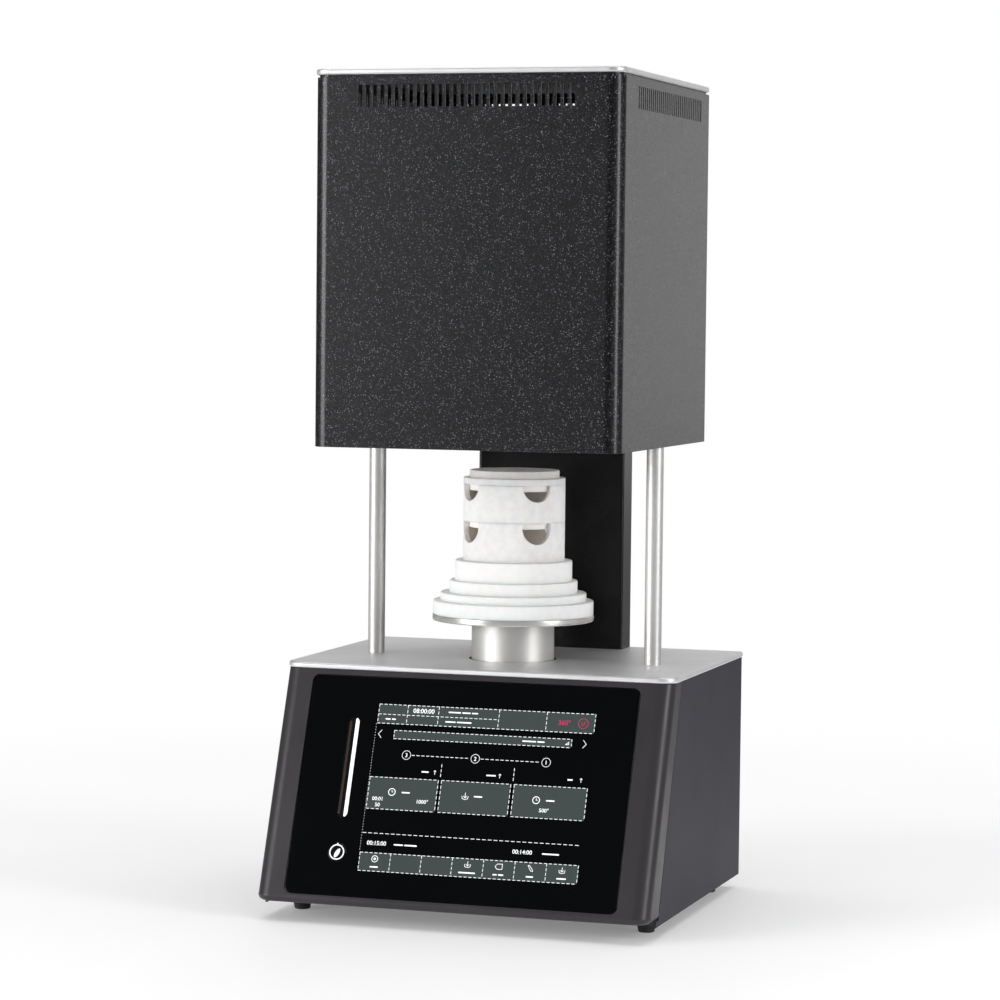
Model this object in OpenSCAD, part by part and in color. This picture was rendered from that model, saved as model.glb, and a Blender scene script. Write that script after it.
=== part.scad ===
// Bench-top sintering furnace with a lift that carries the firing trays up into the head.
// Millimetres. Z is up, the front faces -Y, and the origin is the centre of the footprint.

/* [Overall] */
// Depth from the lip under the front to the back of the head
depth = 339.5; // [300:0.5:420]
// Distance from the lift axis to the back of the head
axis_back = 150.5; // [146:0.5:190]
// Stroke of the lift, from loading to closed
lift_travel = 160; // [120:1:200]

/* [Base] */
// Width of the base
base_w = 372.6; // [360:0.2:460]
// Angle of the front from upright
slope = 21.1; // [16:0.1:26]
// Thickness of the base top plate
plate_t = 5.5; // [4:0.5:8]
// Overhang of the base top plate at each side
plate_over = 1.7; // [0:0.1:3]
// Radius of the base's upright front corners
base_r = 15; // [10:0.5:20]
// Radius of the rolled lip under the front
lip_r = 5; // [4:0.5:7]
// Height of the lip over the bottom edge of the side panels
lip_rise = 6; // [3:0.5:10]
// Wall of the front shell
shell_t = 3; // [2:0.5:3.5]
// Thickness of the flat sheet-metal panels
sheet = 2; // [1:0.5:3]
// Distance from the front's top edge back to the side panel seam
seam_top = 32; // [22:0.5:40]
// Distance from the lip back to the side panel seam at the bottom
seam_bottom = 36; // [30:0.5:46]
// Reach of the side panel's toe under the lip, forward of its seam
toe_l = 7; // [4:0.5:12]
// Height of a foot
foot_h = 11.5; // [8:0.5:20]
// Diameter of a foot
foot_d = 18; // [14:0.5:26]
// Sideways distance of each foot from the middle
foot_x = 166; // [140:1:170]
// Distance from the lip back to the front feet
foot_front = 72; // [60:1:100]
// Distance from the back of the head to the rear feet
foot_back = 44; // [30:1:70]
// Room between the raised carriage and the base top plate
base_spare = 8.5; // [4:0.5:20]

/* [Front panel] */
// Width of the glass
glass_w = 314.5; // [300:0.5:325]
// Height of the glass along the slope
glass_h = 206; // [200:1:210]
// Thickness of the glass
glass_t = 3; // [2:0.5:4]
// Corner radius of the glass
glass_r = 6.5; // [3:0.5:12]
// Distance down the slope from the top plate to the glass
glass_v = 5.2; // [4:0.1:8]
// Gap round the glass
glass_gap = 0.5; // [0.3:0.1:1]
// Width of the display's lit area
screen_w = 206.8; // [150:0.2:210]
// Height of the display's lit area
screen_h = 155.8; // [110:0.1:160]
// Sideways place of the display's middle
screen_x = 11.5; // [5:0.5:20]
// Distance down the slope from the top plate to the display
screen_v = 30.8; // [28:0.1:40]
// Width of the status light
light_w = 10; // [6:0.5:14]
// Length of the status light
light_l = 94.5; // [60:0.5:110]
// Sideways place of the status light and the power key
light_x = -111.5; // [-120:0.5:-108]
// Distance down the slope from the top plate to the status light
light_v = 44.3; // [35:0.1:50]
// Diameter of the power key
key_d = 17; // [12:0.5:20]
// Distance down the slope from the top plate to the key's middle
key_v = 171.1; // [168:0.1:180]
// Gap round the key
key_gap = 0.3; // [0.2:0.05:0.5]
// Travel of the power key
key_travel = 1.2; // [0.6:0.1:2]

/* [Head] */
// Width of the head
head_w = 291; // [280:0.2:360]
// Depth of the head
head_d = 308.5; // [290:0.5:340]
// Height of the head's casing
head_h = 335; // [320:1:420]
// Radius of the head's upright front corners
head_r = 14.3; // [8:0.1:20]
// Thickness of the head's top plate
top_t = 5.5; // [4:0.5:8]
// Shadow gap under the head's top plate
top_gap = 2; // [1:0.5:4]
// Overhang of the head's top plate
top_over = 0.8; // [0:0.1:2]
// Rounding of the edges of both thick plates
edge_r = 2; // [1:0.25:2.5]
// Thickness of the head's bottom plate
head_plate_t = 4; // [3:0.5:6]
// Width of a vent slot
vent_w = 3.4; // [2:0.1:4]
// Height of a vent slot
vent_h = 20; // [10:1:30]
// Distance from one vent slot to the next
vent_pitch = 6.9; // [6:0.1:7.5]
// Distance from the casing's top to the vent slots
vent_drop = 7.4; // [6:0.1:20]
// Vent slots in the front and in the back
front_vents = 30; // [16:1:32]
// Vent slots in each side
side_vents = 33; // [16:1:34]
// Distance of the side vents' middle behind the middle of the head
vent_shift = 12; // [0:0.5:16]

/* [Columns] */
// Diameter of a column
column_d = 16; // [12:1:20]
// Sideways distance of each column from the middle
column_x = 137; // [130:0.1:141]
// Diameter of a column's threaded ends
stud_d = 8; // [5:1:8]
// Length of a column's threaded ends
stud_l = 18; // [15:1:24]
// Width of the rear column
rear_w = 147.8; // [110:0.2:170]
// Depth of the rear column
rear_d = 32.4; // [28:0.2:34]

/* [Lift] */
// Diameter of the ram
ram_d = 78; // [60:1:82]
// Wall of the ram
ram_t = 3; // [2:0.5:4]
// Height of the lift plate's top over the base at rest
lift_rise = 42.5; // [30:0.5:80]
// Diameter of the lift plate
lift_plate_d = 152.4; // [151.6:0.2:153]
// Thickness of the lift plate
lift_plate_t = 6; // [4:0.5:10]
// Diameter of the lowest tier of the plug
tier_1_d = 151.6; // [146:0.2:152]
// Height of the lowest tier
tier_1_h = 13; // [8:0.5:20]
// Diameter of the second tier
tier_2_d = 138; // [130:0.2:142]
// Height of the second tier
tier_2_h = 7.5; // [5:0.5:15]
// Diameter of the third tier
tier_3_d = 121; // [118:0.2:128]
// Height of the third tier
tier_3_h = 11.5; // [6:0.5:20]
// Diameter of the top tier
tier_4_d = 110.6; // [100:0.2:114]
// Height of the top tier
tier_4_h = 19; // [10:0.5:30]

/* [Trays] */
// Diameter of the trays
tray_d = 96; // [80:0.5:100]
// Wall of the trays
tray_wall = 5.3; // [4:0.1:8]
// Floor of the trays
tray_floor = 5; // [3:0.5:8]
// Height of the lower tray
lower_h = 37; // [32:0.5:45]
// Height of the upper tray
upper_h = 35; // [28:0.5:42]
// Height of the lid's flange
lid_flange = 6; // [4:0.5:10]
// Height of the lid's raised disc
lid_rise = 7; // [3:0.5:12]
// Depth that a spigot reaches into the tray below
spigot_h = 6; // [3:0.5:8]
// Gap round a spigot
spigot_gap = 0.4; // [0.2:0.1:1]
// Width of a notch in a tray's rim
notch_w = 30; // [20:1:32]
// Depth of the lower tray's notches
lower_notch = 20; // [16:0.5:24]
// Depth of the upper tray's notches
upper_notch = 15.6; // [15:0.1:20]

/* [Chamber] */
// Gap round the plug when it is closed
plug_gap = 1.6; // [1:0.1:3]
// Gap from the trays to the heating elements
tray_gap = 4.5; // [3:0.5:8]
// Gap from the heating elements to the chamber wall
wall_gap = 4.5; // [3:0.5:10]
// Diameter of an element's hot leg
leg_d = 3; // [3:0.5:4]
// Diameter of an element's terminal
terminal_d = 6; // [5:0.5:8]
// Distance between an element's legs
leg_pitch = 20; // [16:1:24]
// Room between the raised lid and the chamber roof
lid_room = 36; // [32:1:60]
// Width of the insulation blocks
block_w = 224; // [200:1:232]
// Thickness of the roof block
roof_t = 60; // [40:1:70]
// Length of a terminal over the roof
terminal_out = 36; // [30:1:44]

/* [Drive] */
// Diameter of the lift spindle
spindle_d = 16; // [12:1:18]
// Diameter of the guide rods
guide_d = 10; // [8:1:12]
// Sideways distance of each guide rod from the lift axis
guide_x = 60; // [56:1:66]
// Diameter of a guide bearing
bearing_d = 19; // [17:1:22]
// Length of a guide bearing
bearing_l = 26; // [20:1:32]
// Thickness of the lift carriage
carriage_t = 8; // [6:0.5:10]
// Diameter of the spindle's pulley
big_pulley_d = 32; // [28:1:36]
// Diameter of the motor's pulley
small_pulley_d = 16; // [14:1:20]
// Width of the drive belt
belt_w = 6.5; // [5:0.5:6.5]
// Thickness of the drive belt
belt_t = 1.5; // [1:0.1:2]
// Distance from the lift axis back to the motor
motor_back = 78; // [78:1:86]
// Width of the motor
motor_w = 57; // [42:1:57]
// Length of the motor
motor_l = 56; // [40:1:80]

/* [Rear fittings] */
// Width of the fan
fan_w = 80; // [60:1:92]
// Thickness of the fan
fan_t = 25; // [15:1:32]
// Blades of the fan
fan_blades = 7; // [5:1:9]
// Sideways place of the fan
fan_x = -118; // [-125:1:-100]
// Sideways place of the mains inlet
inlet_x = 128; // [115:1:140]
// Sideways place of the mains switch
switch_x = 84; // [75:1:90]
// Sideways place of the data socket
data_x = 46; // [36:1:52]
// Height of the rear fittings over the base's underside
fitting_z = 52; // [46:1:70]
// Tilt of the mains switch each way
rocker_tilt = 8; // [5:1:10]

/* [Fits] */
// Running gap of a shaft in its bearing
run_gap = 0.05; // [0.02:0.01:0.1]
// Gap between curved faces that only pass each other
pass_gap = 0.3; // [0.2:0.05:0.6]
// Gap between panels
panel_gap = 0.4; // [0.2:0.1:1]

/* [Hidden] */

$fn = 64;
tiny = 0.01;
over = 1;

// Plan
y_back = depth / 2;
y_front = -depth / 2;
lift_y = y_back - axis_back;
case_back = y_back - 1;
rear_face = y_back - 4;
head_rear_face = y_back - 1.5;
head_front = y_back - head_d;
plate_back_r = 4;

// Heights in the base
z_floor = foot_h;
z_lip = z_floor + lip_rise;
floor_top = z_floor + sheet;
frame_t = 4;
frame_top = floor_top + frame_t;
drive_h = 20;
z_carriage = floor_top + drive_h;
bearing_drop = 4;
plate_z = z_carriage - bearing_drop + bearing_l + lift_travel + base_spare;
base_h = plate_z + plate_t;

// Heights of the lift
lift_top = base_h + lift_rise;
ram_top = lift_top - lift_plate_t;
z_tier_2 = lift_top + tier_1_h;
z_tier_3 = z_tier_2 + tier_2_h;
z_tier_4 = z_tier_3 + tier_3_h;
z_lower = z_tier_4 + tier_4_h;
z_upper = z_lower + lower_h;
z_lid = z_upper + upper_h;
lid_top = z_lid + lid_flange + lid_rise;

// Heights of the head
closed_gap = 0.3;
head_z = lift_top + lift_travel + closed_gap;
case_top = head_z + head_h;
top_z = case_top + top_gap;
vent_z = case_top - vent_drop - vent_h;
block_z = head_z + head_plate_t;
step_gap = 1.2;
step_1 = z_tier_2 + lift_travel + step_gap;
step_2 = z_tier_3 + lift_travel + step_gap;
step_3 = z_tier_4 + lift_travel + step_gap;
hot_z = z_lower + lift_travel + step_gap;
roof_z = lid_top + lift_travel + lid_room;
roof_top = roof_z + roof_t;
jacket_t = 2;
jacket_top = roof_top + jacket_t;

// Front plane: it leans back from the tangent point on the lip to the plate
lip_tangent_y = y_front + lip_r * (1 - cos(slope));
lip_tangent_z = z_lip + lip_r * (1 + sin(slope));
front_top_y = lip_tangent_y + (plate_z - lip_tangent_z) * tan(slope);
seam_top_y = front_top_y + seam_top;
seam_bottom_y = y_front + seam_bottom;
seam_lean = (seam_top_y - seam_bottom_y) / (plate_z - z_floor);
floor_front_y = seam_bottom_y + (lip_rise + shell_t) * seam_lean + 2 * panel_gap;
frame_w = -max(shell_t, glass_t);
display_t = 9;
bezel = 3;
post_h = 8;
board_t = 1.6;
board_w = -glass_t - display_t - post_h;
// Parts on the control board: place, width, length and height
board_chips = [[-60, -100, 40, 30, 8], [0, -150, 30, 24, 12], [70, -95, 16, 40, 10]];
wiper_w = 2.5;

// Chamber and elements
element_r = tray_d / 2 + tray_gap + leg_d / 2;
hot_r = element_r + leg_d / 2 + wall_gap;
element_angles = [45, 135, 225, 315];
element_z = hot_z + 2;
cold_z = roof_z - 4;
terminal_top = jacket_top + terminal_out;
clamp_h = 14;
strap_z = jacket_top + clamp_h + 4;
strap_t = 3;
strap_w = 7;
lug_l = 14;
ring_r = terminal_d / 2 + 3;
probe_d = 6;
probe_tip = roof_z - 8;
probe_head_z = jacket_top + 20;
probe_head_h = 16;
block_half = block_w / 2;
jacket_half = block_half + 0.5 + jacket_t / 2;

// Drive
ram_r = ram_d / 2;
belt_z = frame_top + 7;
pulley_h = belt_w + 1.5;
pulley_z = frame_top + 6.2;
journal_d = 12;
spindle_top = ram_top - 54;
bridge_z = belt_z + 11;
bridge_t = 4;
motor_z = bridge_z + bridge_t;
motor_y = lift_y + motor_back;
shaft_d = 8;
nut_body_r = spindle_d / 2 + 5;
nut_h = 20;

// Wiring
duct_w = 80;
duct_d = 18;
duct_y = case_back - rear_d / 2 + 0.5;
lead_d = 8;
loom_d = 5;
lead_x = element_r * sin(45) - leg_pitch / 2 * sin(45);
lead_y = lift_y + element_r * sin(45) + leg_pitch / 2 * sin(45);
transformer_x = -134;
transformer_y = 62;
transformer_h = 84;

// Rear fittings
fan_r = fan_w / 2 - 2;
fan_z = z_floor + 52;
hub_r = 16;
axle_r = 3;
axle_l = 12;
guard_rings = [10, 18, 26, 34];
wire_d = 1.6;
fitting_height = z_floor + fitting_z;
rocker_r = 10;
rocker_w = 18;
socket_d = 22;
inlet_body = [28, 20.4];
switch_body = [20.4, 27.2];
data_body = [17.6, 15.6];
rocker_pivot = 2.2 - rocker_r;
pin_r = 1.9;
foot_bore = 2.7;

function front_point(x, v, w) = [x,
    front_top_y - v * sin(slope) - w * cos(slope),
    plate_z - v * cos(slope) + w * sin(slope)];

function terminal_xy(a, s) = [element_r * cos(a) - s * leg_pitch / 2 * sin(a),
    element_r * sin(a) + s * leg_pitch / 2 * cos(a)];

// Places the children on the sloped front: x across, y up the slope from the
// plate's lower edge, z out of the panel
module on_front() {
    translate([0, front_top_y, plate_z])
        rotate([90 - slope, 0, 0])
            children();
}

module at_lift(z = 0) {
    translate([0, lift_y, z])
        children();
}

module both_sides(x) {
    for (s = [-1, 1])
        translate([s * x, 0, 0])
            children();
}

module rounded_square(x0, x1, y0, y1, r) {
    translate([x0 + r, y0])
        square([x1 - x0 - 2 * r, y1 - y0]);
    translate([x0, y0 + r])
        square([x1 - x0, y1 - y0 - 2 * r]);
    for (x = [x0 + r, x1 - r], y = [y0 + r, y1 - r])
        translate([x, y])
            circle(r);
}

// Outline with rounded front corners and a square back
module front_rounded(half, y0, y1, r) {
    translate([-half + r, y0])
        square([2 * (half - r), y1 - y0]);
    translate([-half, y0 + r])
        square([2 * half, y1 - y0 - r]);
    for (s = [-1, 1])
        translate([s * (half - r), y0 + r])
            circle(r);
}

module soft_disc(r, t, e) {
    rotate_extrude($fn = 40) {
        square([r - e, t]);
        translate([0, e])
            square([r, t - 2 * e]);
        for (z = [e, t - e])
            translate([r - e, z])
                intersection() {
                    circle(e, $fn = 16);
                    translate([0, -e])
                        square([e, 2 * e]);
                }
    }
}

// Thick plate with rounded corners and rounded edges
module thick_plate(half, y0, y1, t, r_front, r_back) {
    hull()
        for (s = [-1, 1]) {
            translate([s * (half - r_front), y0 + r_front, 0])
                soft_disc(r_front, t, edge_r);
            translate([s * (half - r_back), y1 - r_back, 0])
                soft_disc(r_back, t, edge_r);
        }
}

module ring(r1, r2, z, h) {
    translate([0, 0, z])
        difference() {
            cylinder(r = r1, h = h);
            translate([0, 0, -over])
                cylinder(r = r2, h = h + 2 * over);
        }
}

module disc(r, z, h) {
    translate([0, 0, z])
        cylinder(r = r, h = h);
}

module block(x0, x1, y0, y1, z0, z1) {
    translate([x0, y0, z0])
        cube([x1 - x0, y1 - y0, z1 - z0]);
}

// Round cable through the points, with a ball at each corner
module cable(points, d) {
    for (i = [0 : len(points) - 2]) {
        v = points[i + 1] - points[i];
        length = norm(v);
        translate(points[i])
            rotate([0, acos(v[2] / length), atan2(v[1], v[0])])
                cylinder(d = d, h = length, $fn = 24);
    }
    for (i = [1 : len(points) - 2])
        translate(points[i])
            sphere(d = d + 0.3, $fn = 24);
}

// Base

module base_top_plate() {
    color("silver")
        translate([0, 0, plate_z])
            difference() {
                thick_plate(base_w / 2 + plate_over, front_top_y, case_back, plate_t,
                    base_r + plate_over, plate_back_r);
                at_lift(-over)
                    cylinder(r = ram_r + wiper_w, h = plate_t + 2 * over);
                both_sides(column_x)
                    at_lift(-over)
                        cylinder(d = stud_d + 2 * run_gap, h = plate_t + 2 * over);
                translate([-duct_w / 2, duct_y - duct_d / 2, -over])
                    cube([duct_w, duct_d, plate_t + 2 * over]);
            }
}

// Disc whose lower edge is rolled, one corner of the front shell
module lip_disc(inset) {
    r = base_r - inset;
    e = lip_r - inset;
    rotate_extrude($fn = 48) {
        translate([0, e])
            square([r, e]);
        square([r - e, e]);
        translate([r - e, e])
            intersection() {
                circle(e, $fn = 32);
                translate([0, -e])
                    square(e);
            }
    }
}

// Solid wedge with the front's outline, drawn in by inset on every face
module front_wedge(inset, top) {
    corner_x = base_w / 2 - base_r;
    r = base_r - inset;
    y_top = front_top_y + inset / cos(slope) + (top - plate_z) * tan(slope) + r;
    hull()
        for (s = [-1, 1], y = [y_front + base_r, 0])
            translate([s * corner_x, y, z_lip + inset])
                lip_disc(inset);
    hull()
        for (s = [-1, 1]) {
            translate([s * corner_x, y_front + base_r, z_lip + inset])
                lip_disc(inset);
            translate([s * corner_x, y_top, top - tiny])
                cylinder(r = r, h = tiny, $fn = 48);
            translate([s * corner_x, r, z_lip + lip_r])
                cylinder(r = r, h = top - z_lip - lip_r, $fn = 16);
        }
}

module front_shell() {
    color([0.29, 0.26, 0.27])
        difference() {
            intersection() {
                front_wedge(0, plate_z);
                rotate([90, 0, 90])
                    translate([0, 0, -base_w])
                        linear_extrude(2 * base_w)
                            polygon([[y_front - 2 * over, z_floor - over],
                                [seam_bottom_y, z_floor],
                                [seam_top_y, plate_z],
                                [front_top_y - 2 * over, plate_z + over],
                                [y_front - 2 * over, plate_z + over]]);
            }
            front_wedge(shell_t, plate_z + over);
            on_front()
                translate([0, 0, -2 * shell_t])
                    linear_extrude(4 * shell_t)
                        glass_outline(glass_gap);
        }
}

module glass_outline(gap) {
    rounded_square(-glass_w / 2 - gap, glass_w / 2 + gap,
        -glass_v - glass_h - gap, -glass_v + gap, glass_r + gap);
}

module light_outline(gap) {
    r = light_w / 2;
    for (v = [light_v + r, light_v + light_l - r])
        translate([light_x, -v])
            circle(r + gap);
    translate([light_x - r - gap, -light_v - light_l + r])
        square([light_w + 2 * gap, light_l - light_w]);
}

module screen_outline(gap) {
    translate([screen_x - screen_w / 2 - gap, -screen_v - screen_h - gap])
        square([screen_w + 2 * gap, screen_h + 2 * gap]);
}

module key_place() {
    translate([light_x, -key_v])
        children();
}

module glass_panel() {
    color([0.03, 0.03, 0.04])
        on_front()
            translate([0, 0, -glass_t])
                linear_extrude(glass_t)
                    difference() {
                        glass_outline(0);
                        light_outline(0.2);
                        key_place()
                            circle(d = key_d + 2 * key_gap);
                    }
}

module display_frame() {
    rim = 5;
    rim_top = 2;
    rim_low = 1.5;
    frame_sheet = 1.5;
    socket_h = 8.8 + key_travel;
    color([0.2, 0.2, 0.22])
        on_front() {
            translate([0, 0, frame_w - frame_sheet])
                linear_extrude(frame_sheet)
                    difference() {
                        translate([-glass_w / 2 - rim, -glass_v - glass_h - rim_low])
                            square([glass_w + 2 * rim, glass_h + rim_low + rim_top]);
                        screen_outline(bezel + 0.3);
                        light_outline(0.3);
                        key_place()
                            circle(d = key_d + 2 * key_gap);
                    }
            translate([light_x, -key_v, 0])
                difference() {
                    disc(key_d / 2 + 2.5, frame_w - frame_sheet - socket_h, socket_h);
                    disc(key_d / 2 + key_gap, frame_w - frame_sheet - socket_h + 2, socket_h);
                }
        }
}

module display_module() {
    well = [120, 80, 2];
    well_v = screen_v + 120;
    color([0.1, 0.12, 0.12])
        on_front()
            difference() {
                translate([0, 0, -glass_t - display_t])
                    linear_extrude(display_t)
                        screen_outline(bezel);
                translate([screen_x - well[0] / 2, -well_v, -glass_t - display_t - over])
                    cube([well[0], well[1], well[2] + over]);
            }
}

module light_bar() {
    base_t = 3;
    color("white")
        on_front() {
            translate([0, 0, frame_w - 1.5])
                linear_extrude(-frame_w + 1.2)
                    light_outline(0);
            translate([0, 0, frame_w - 1.5 - base_t])
                linear_extrude(base_t)
                    light_outline(2);
        }
}

module power_button() {
    stem_l = 6.5;
    skirt_l = 2;
    recess = 0.1;
    color([0.05, 0.05, 0.06])
        on_front()
            translate([light_x, -key_v, 0]) {
                disc(key_d / 2, -glass_t, glass_t - recess);
                disc(key_d / 2 - 1, -glass_t - skirt_l, skirt_l + tiny);
                disc(3, -glass_t - stem_l, stem_l);
            }
}

module control_board() {
    size = [160, 120];
    place = [-70, -170];
    post_r = 3;
    inset = 6;
    color([0.05, 0.3, 0.15])
        on_front() {
            translate([place[0], place[1], board_w - board_t])
                cube([size[0], size[1], board_t]);
            for (c = board_chips)
                translate([c[0], c[1], board_w - board_t - c[4]])
                    cube([c[2], c[3], c[4]]);
            for (x = [inset, size[0] - inset], y = [inset, size[1] - inset])
                translate([place[0] + x, place[1] + y, board_w])
                    cylinder(r = post_r, h = post_h);
        }
}

module side_profile() {
    toe_h = lip_rise - panel_gap;
    rotate([90, 0, 90])
        linear_extrude(sheet)
            polygon([[seam_top_y + panel_gap, plate_z],
                [seam_bottom_y + toe_h * seam_lean + panel_gap, z_floor + toe_h],
                [seam_bottom_y - toe_l + 2, z_floor + toe_h],
                [seam_bottom_y - toe_l, z_floor],
                [case_back, z_floor],
                [case_back, plate_z]]);
}

module side_panel_left() {
    color([0.33, 0.32, 0.34])
        translate([-base_w / 2, 0, 0])
            side_profile();
}

module side_panel_right() {
    color([0.33, 0.32, 0.34])
        translate([base_w / 2 - sheet, 0, 0])
            side_profile();
}

// Hole in the rear panel round the body of a fitting
module fitting_hole(x, body) {
    w = body[0] / 2 + panel_gap;
    h = body[1] / 2 + panel_gap;
    block(x - w, x + w, rear_face - sheet - over, rear_face + over,
        fitting_height - h, fitting_height + h);
}

module base_rear_panel() {
    half = base_w / 2 - sheet - 0.1;
    slots = 12;
    slot_w = 3;
    slot_pitch = 8;
    slot_z = [plate_z - 60, plate_z - 25];
    color([0.2, 0.2, 0.21])
        difference() {
            block(-half, half, rear_face - sheet, rear_face, z_floor, plate_z);
            translate([fan_x, rear_face + over, fan_z])
                rotate([90, 0, 0])
                    cylinder(r = fan_r, h = sheet + 2 * over);
            fitting_hole(inlet_x, inlet_body);
            fitting_hole(switch_x, switch_body);
            fitting_hole(data_x, data_body);
            for (i = [0 : slots - 1])
                translate([fan_x + (i - (slots - 1) / 2) * slot_pitch, 0, 0])
                    block(-slot_w / 2, slot_w / 2, rear_face - sheet - over, rear_face + over,
                        slot_z[0], slot_z[1]);
        }
}

module foot_places() {
    for (s = [-1, 1], y = [y_front + foot_front, y_back - foot_back])
        translate([s * foot_x, y, 0])
            children();
}

module base_floor() {
    half = base_w / 2 - sheet - 0.1;
    slots = 10;
    slot_w = 3;
    slot_pitch = 6;
    slot_x = 125;
    slot_y = [-70, -25];
    color([0.15, 0.15, 0.16])
        difference() {
            union() {
                block(-half, half, floor_front_y, rear_face - sheet, z_floor, floor_top);
                block(-half, half, floor_front_y, floor_front_y + sheet, z_floor,
                    z_lip + shell_t);
            }
            foot_places()
                disc(foot_bore, z_floor - over, sheet + 2 * over);
            for (i = [0 : slots - 1], s = [-1, 1])
                translate([s * slot_x + (i - (slots - 1) / 2) * slot_pitch, 0, 0])
                    block(-slot_w / 2, slot_w / 2, slot_y[0], slot_y[1],
                        z_floor - over, floor_top + over);
        }
}

module feet() {
    foot_taper = 3.2;
    foot_sink = 5;
    color([0.04, 0.04, 0.04])
        foot_places()
            difference() {
                cylinder(d1 = foot_d - foot_taper, d2 = foot_d, h = foot_h);
                disc(foot_bore, -over, foot_h + 2 * over);
                disc(foot_sink, -over, foot_h / 3 + over);
            }
}

module screws() {
    foot_head_r = 4.5;
    foot_head_t = 2.5;
    nut_t = 3.5;
    nut_r = 4.6;
    head_r = 3.5;
    head_t = 1.4;
    inset = 12;
    color("dimgray") {
        foot_places() {
            disc(foot_head_r, foot_h / 3 - foot_head_t, foot_head_t);
            disc(foot_bore - 0.2, foot_h / 3 - tiny, foot_h - foot_h / 3 + sheet + nut_t + 0.5);
            translate([0, 0, floor_top])
                cylinder(r = nut_r, h = nut_t, $fn = 6);
        }
        for (s = [-1, 1], z = [head_z + inset, (head_z + case_top) / 2, case_top - inset])
            translate([s * (head_w / 2 - inset), head_rear_face, z])
                rotate([-90, 0, 0])
                    cylinder(r = head_r, h = head_t);
        for (s = [-1, 1], z = [z_floor + inset, (z_floor + plate_z) / 2, plate_z - inset])
            translate([s * (base_w / 2 - inset), rear_face, z])
                rotate([-90, 0, 0])
                    cylinder(r = head_r, h = head_t);
    }
}

// Drive inside the base

module drive_frame() {
    half = guide_x + 14;
    leg = 6;
    bridge_half = motor_w / 2 + 3;
    front_reach = 30;
    bearing_wall = 8;
    rod_wall = 4;
    boss_h = 6;
    color([0.45, 0.45, 0.48])
        difference() {
            union() {
                block(-half, half, lift_y - front_reach, motor_y + bridge_half + leg, floor_top,
                    frame_top);
                at_lift()
                    disc(journal_d / 2 + bearing_wall, frame_top - tiny, boss_h);
                for (s = [-1, 1])
                    translate([s * guide_x, lift_y, 0])
                        disc(guide_d / 2 + rod_wall, frame_top - tiny, boss_h);
                block(-bridge_half, bridge_half, motor_y - bridge_half + 4,
                    motor_y + bridge_half, bridge_z, bridge_z + bridge_t);
                for (s = [-1, 1])
                    translate([s * (bridge_half - leg / 2), 0, 0])
                        block(-leg / 2, leg / 2, motor_y - bridge_half + 4,
                            motor_y + bridge_half, frame_top - tiny, bridge_z + tiny);
            }
            at_lift()
                disc(journal_d / 2 + run_gap, floor_top + 1, 20);
            for (s = [-1, 1])
                translate([s * guide_x, lift_y, 0])
                    disc(guide_d / 2 + run_gap, floor_top + 1, 20);
            translate([0, motor_y, 0])
                disc(shaft_d / 2 + 4, bridge_z - over, bridge_t + 2 * over);
        }
}

module spindle() {
    color("silver")
        at_lift() {
            disc(journal_d / 2, floor_top + 1.2, pulley_z - floor_top - 1.2 + tiny);
            disc(spindle_d / 2, pulley_z, spindle_top - pulley_z);
        }
}

module pulley(d, bore) {
    flange = 0.5;
    difference() {
        union() {
            disc(d / 2, pulley_z, pulley_h);
            disc(d / 2 + 2.2, pulley_z, flange);
            disc(d / 2 + 2.2, pulley_z + pulley_h - flange, flange);
        }
        disc(bore / 2 + run_gap, pulley_z - over, pulley_h + 2 * over);
    }
}

module spindle_pulley() {
    color([0.7, 0.7, 0.72])
        at_lift()
            pulley(big_pulley_d, spindle_d);
}

module motor_pulley() {
    color([0.7, 0.7, 0.72])
        translate([0, motor_y, 0]) {
            pulley(small_pulley_d, shaft_d);
            disc(shaft_d / 2 + run_gap + tiny, pulley_z + 1, pulley_h - 2);
            disc(shaft_d / 2, pulley_z - 1, motor_z + 20 - pulley_z);
        }
}

// Outline of a belt round both pulleys, out from them by extra
function belt_loop(extra) = let (
    r1 = big_pulley_d / 2 + pass_gap + extra,
    r2 = small_pulley_d / 2 + pass_gap + extra,
    lean = asin((r1 - r2) / motor_back),
    steps = 16)
    concat(
        [for (i = [0 : steps])
            let (a = lean + i * (180 - 2 * lean) / steps)
                [r2 * cos(a), motor_back + r2 * sin(a)]],
        [for (i = [0 : 2 * steps])
            let (a = 180 - lean + i * (180 + 2 * lean) / (2 * steps))
                [r1 * cos(a), r1 * sin(a)]]);

module drive_belt() {
    width = belt_w - 0.2;
    color([0.08, 0.08, 0.08])
        at_lift(pulley_z + (pulley_h - width) / 2)
            linear_extrude(width)
                difference() {
                    polygon(belt_loop(belt_t));
                    polygon(belt_loop(0));
                }
}

module motor() {
    corner = 4;
    color([0.16, 0.16, 0.17])
        translate([0, motor_y, 0])
            difference() {
                translate([0, 0, motor_z])
                    linear_extrude(motor_l)
                        rounded_square(-motor_w / 2, motor_w / 2, -motor_w / 2, motor_w / 2, corner);
                disc(shaft_d / 2 + run_gap, motor_z - over, 24);
            }
}

module guide_rods() {
    color("silver")
        for (s = [-1, 1])
            translate([s * guide_x, lift_y, 0])
                disc(guide_d / 2, floor_top + 1, plate_z - floor_top - 1);
}

module ram_wiper() {
    color([0.1, 0.1, 0.1])
        at_lift()
            ring(ram_r + wiper_w, ram_r + pass_gap, plate_z, plate_t - 0.3);
}

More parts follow.
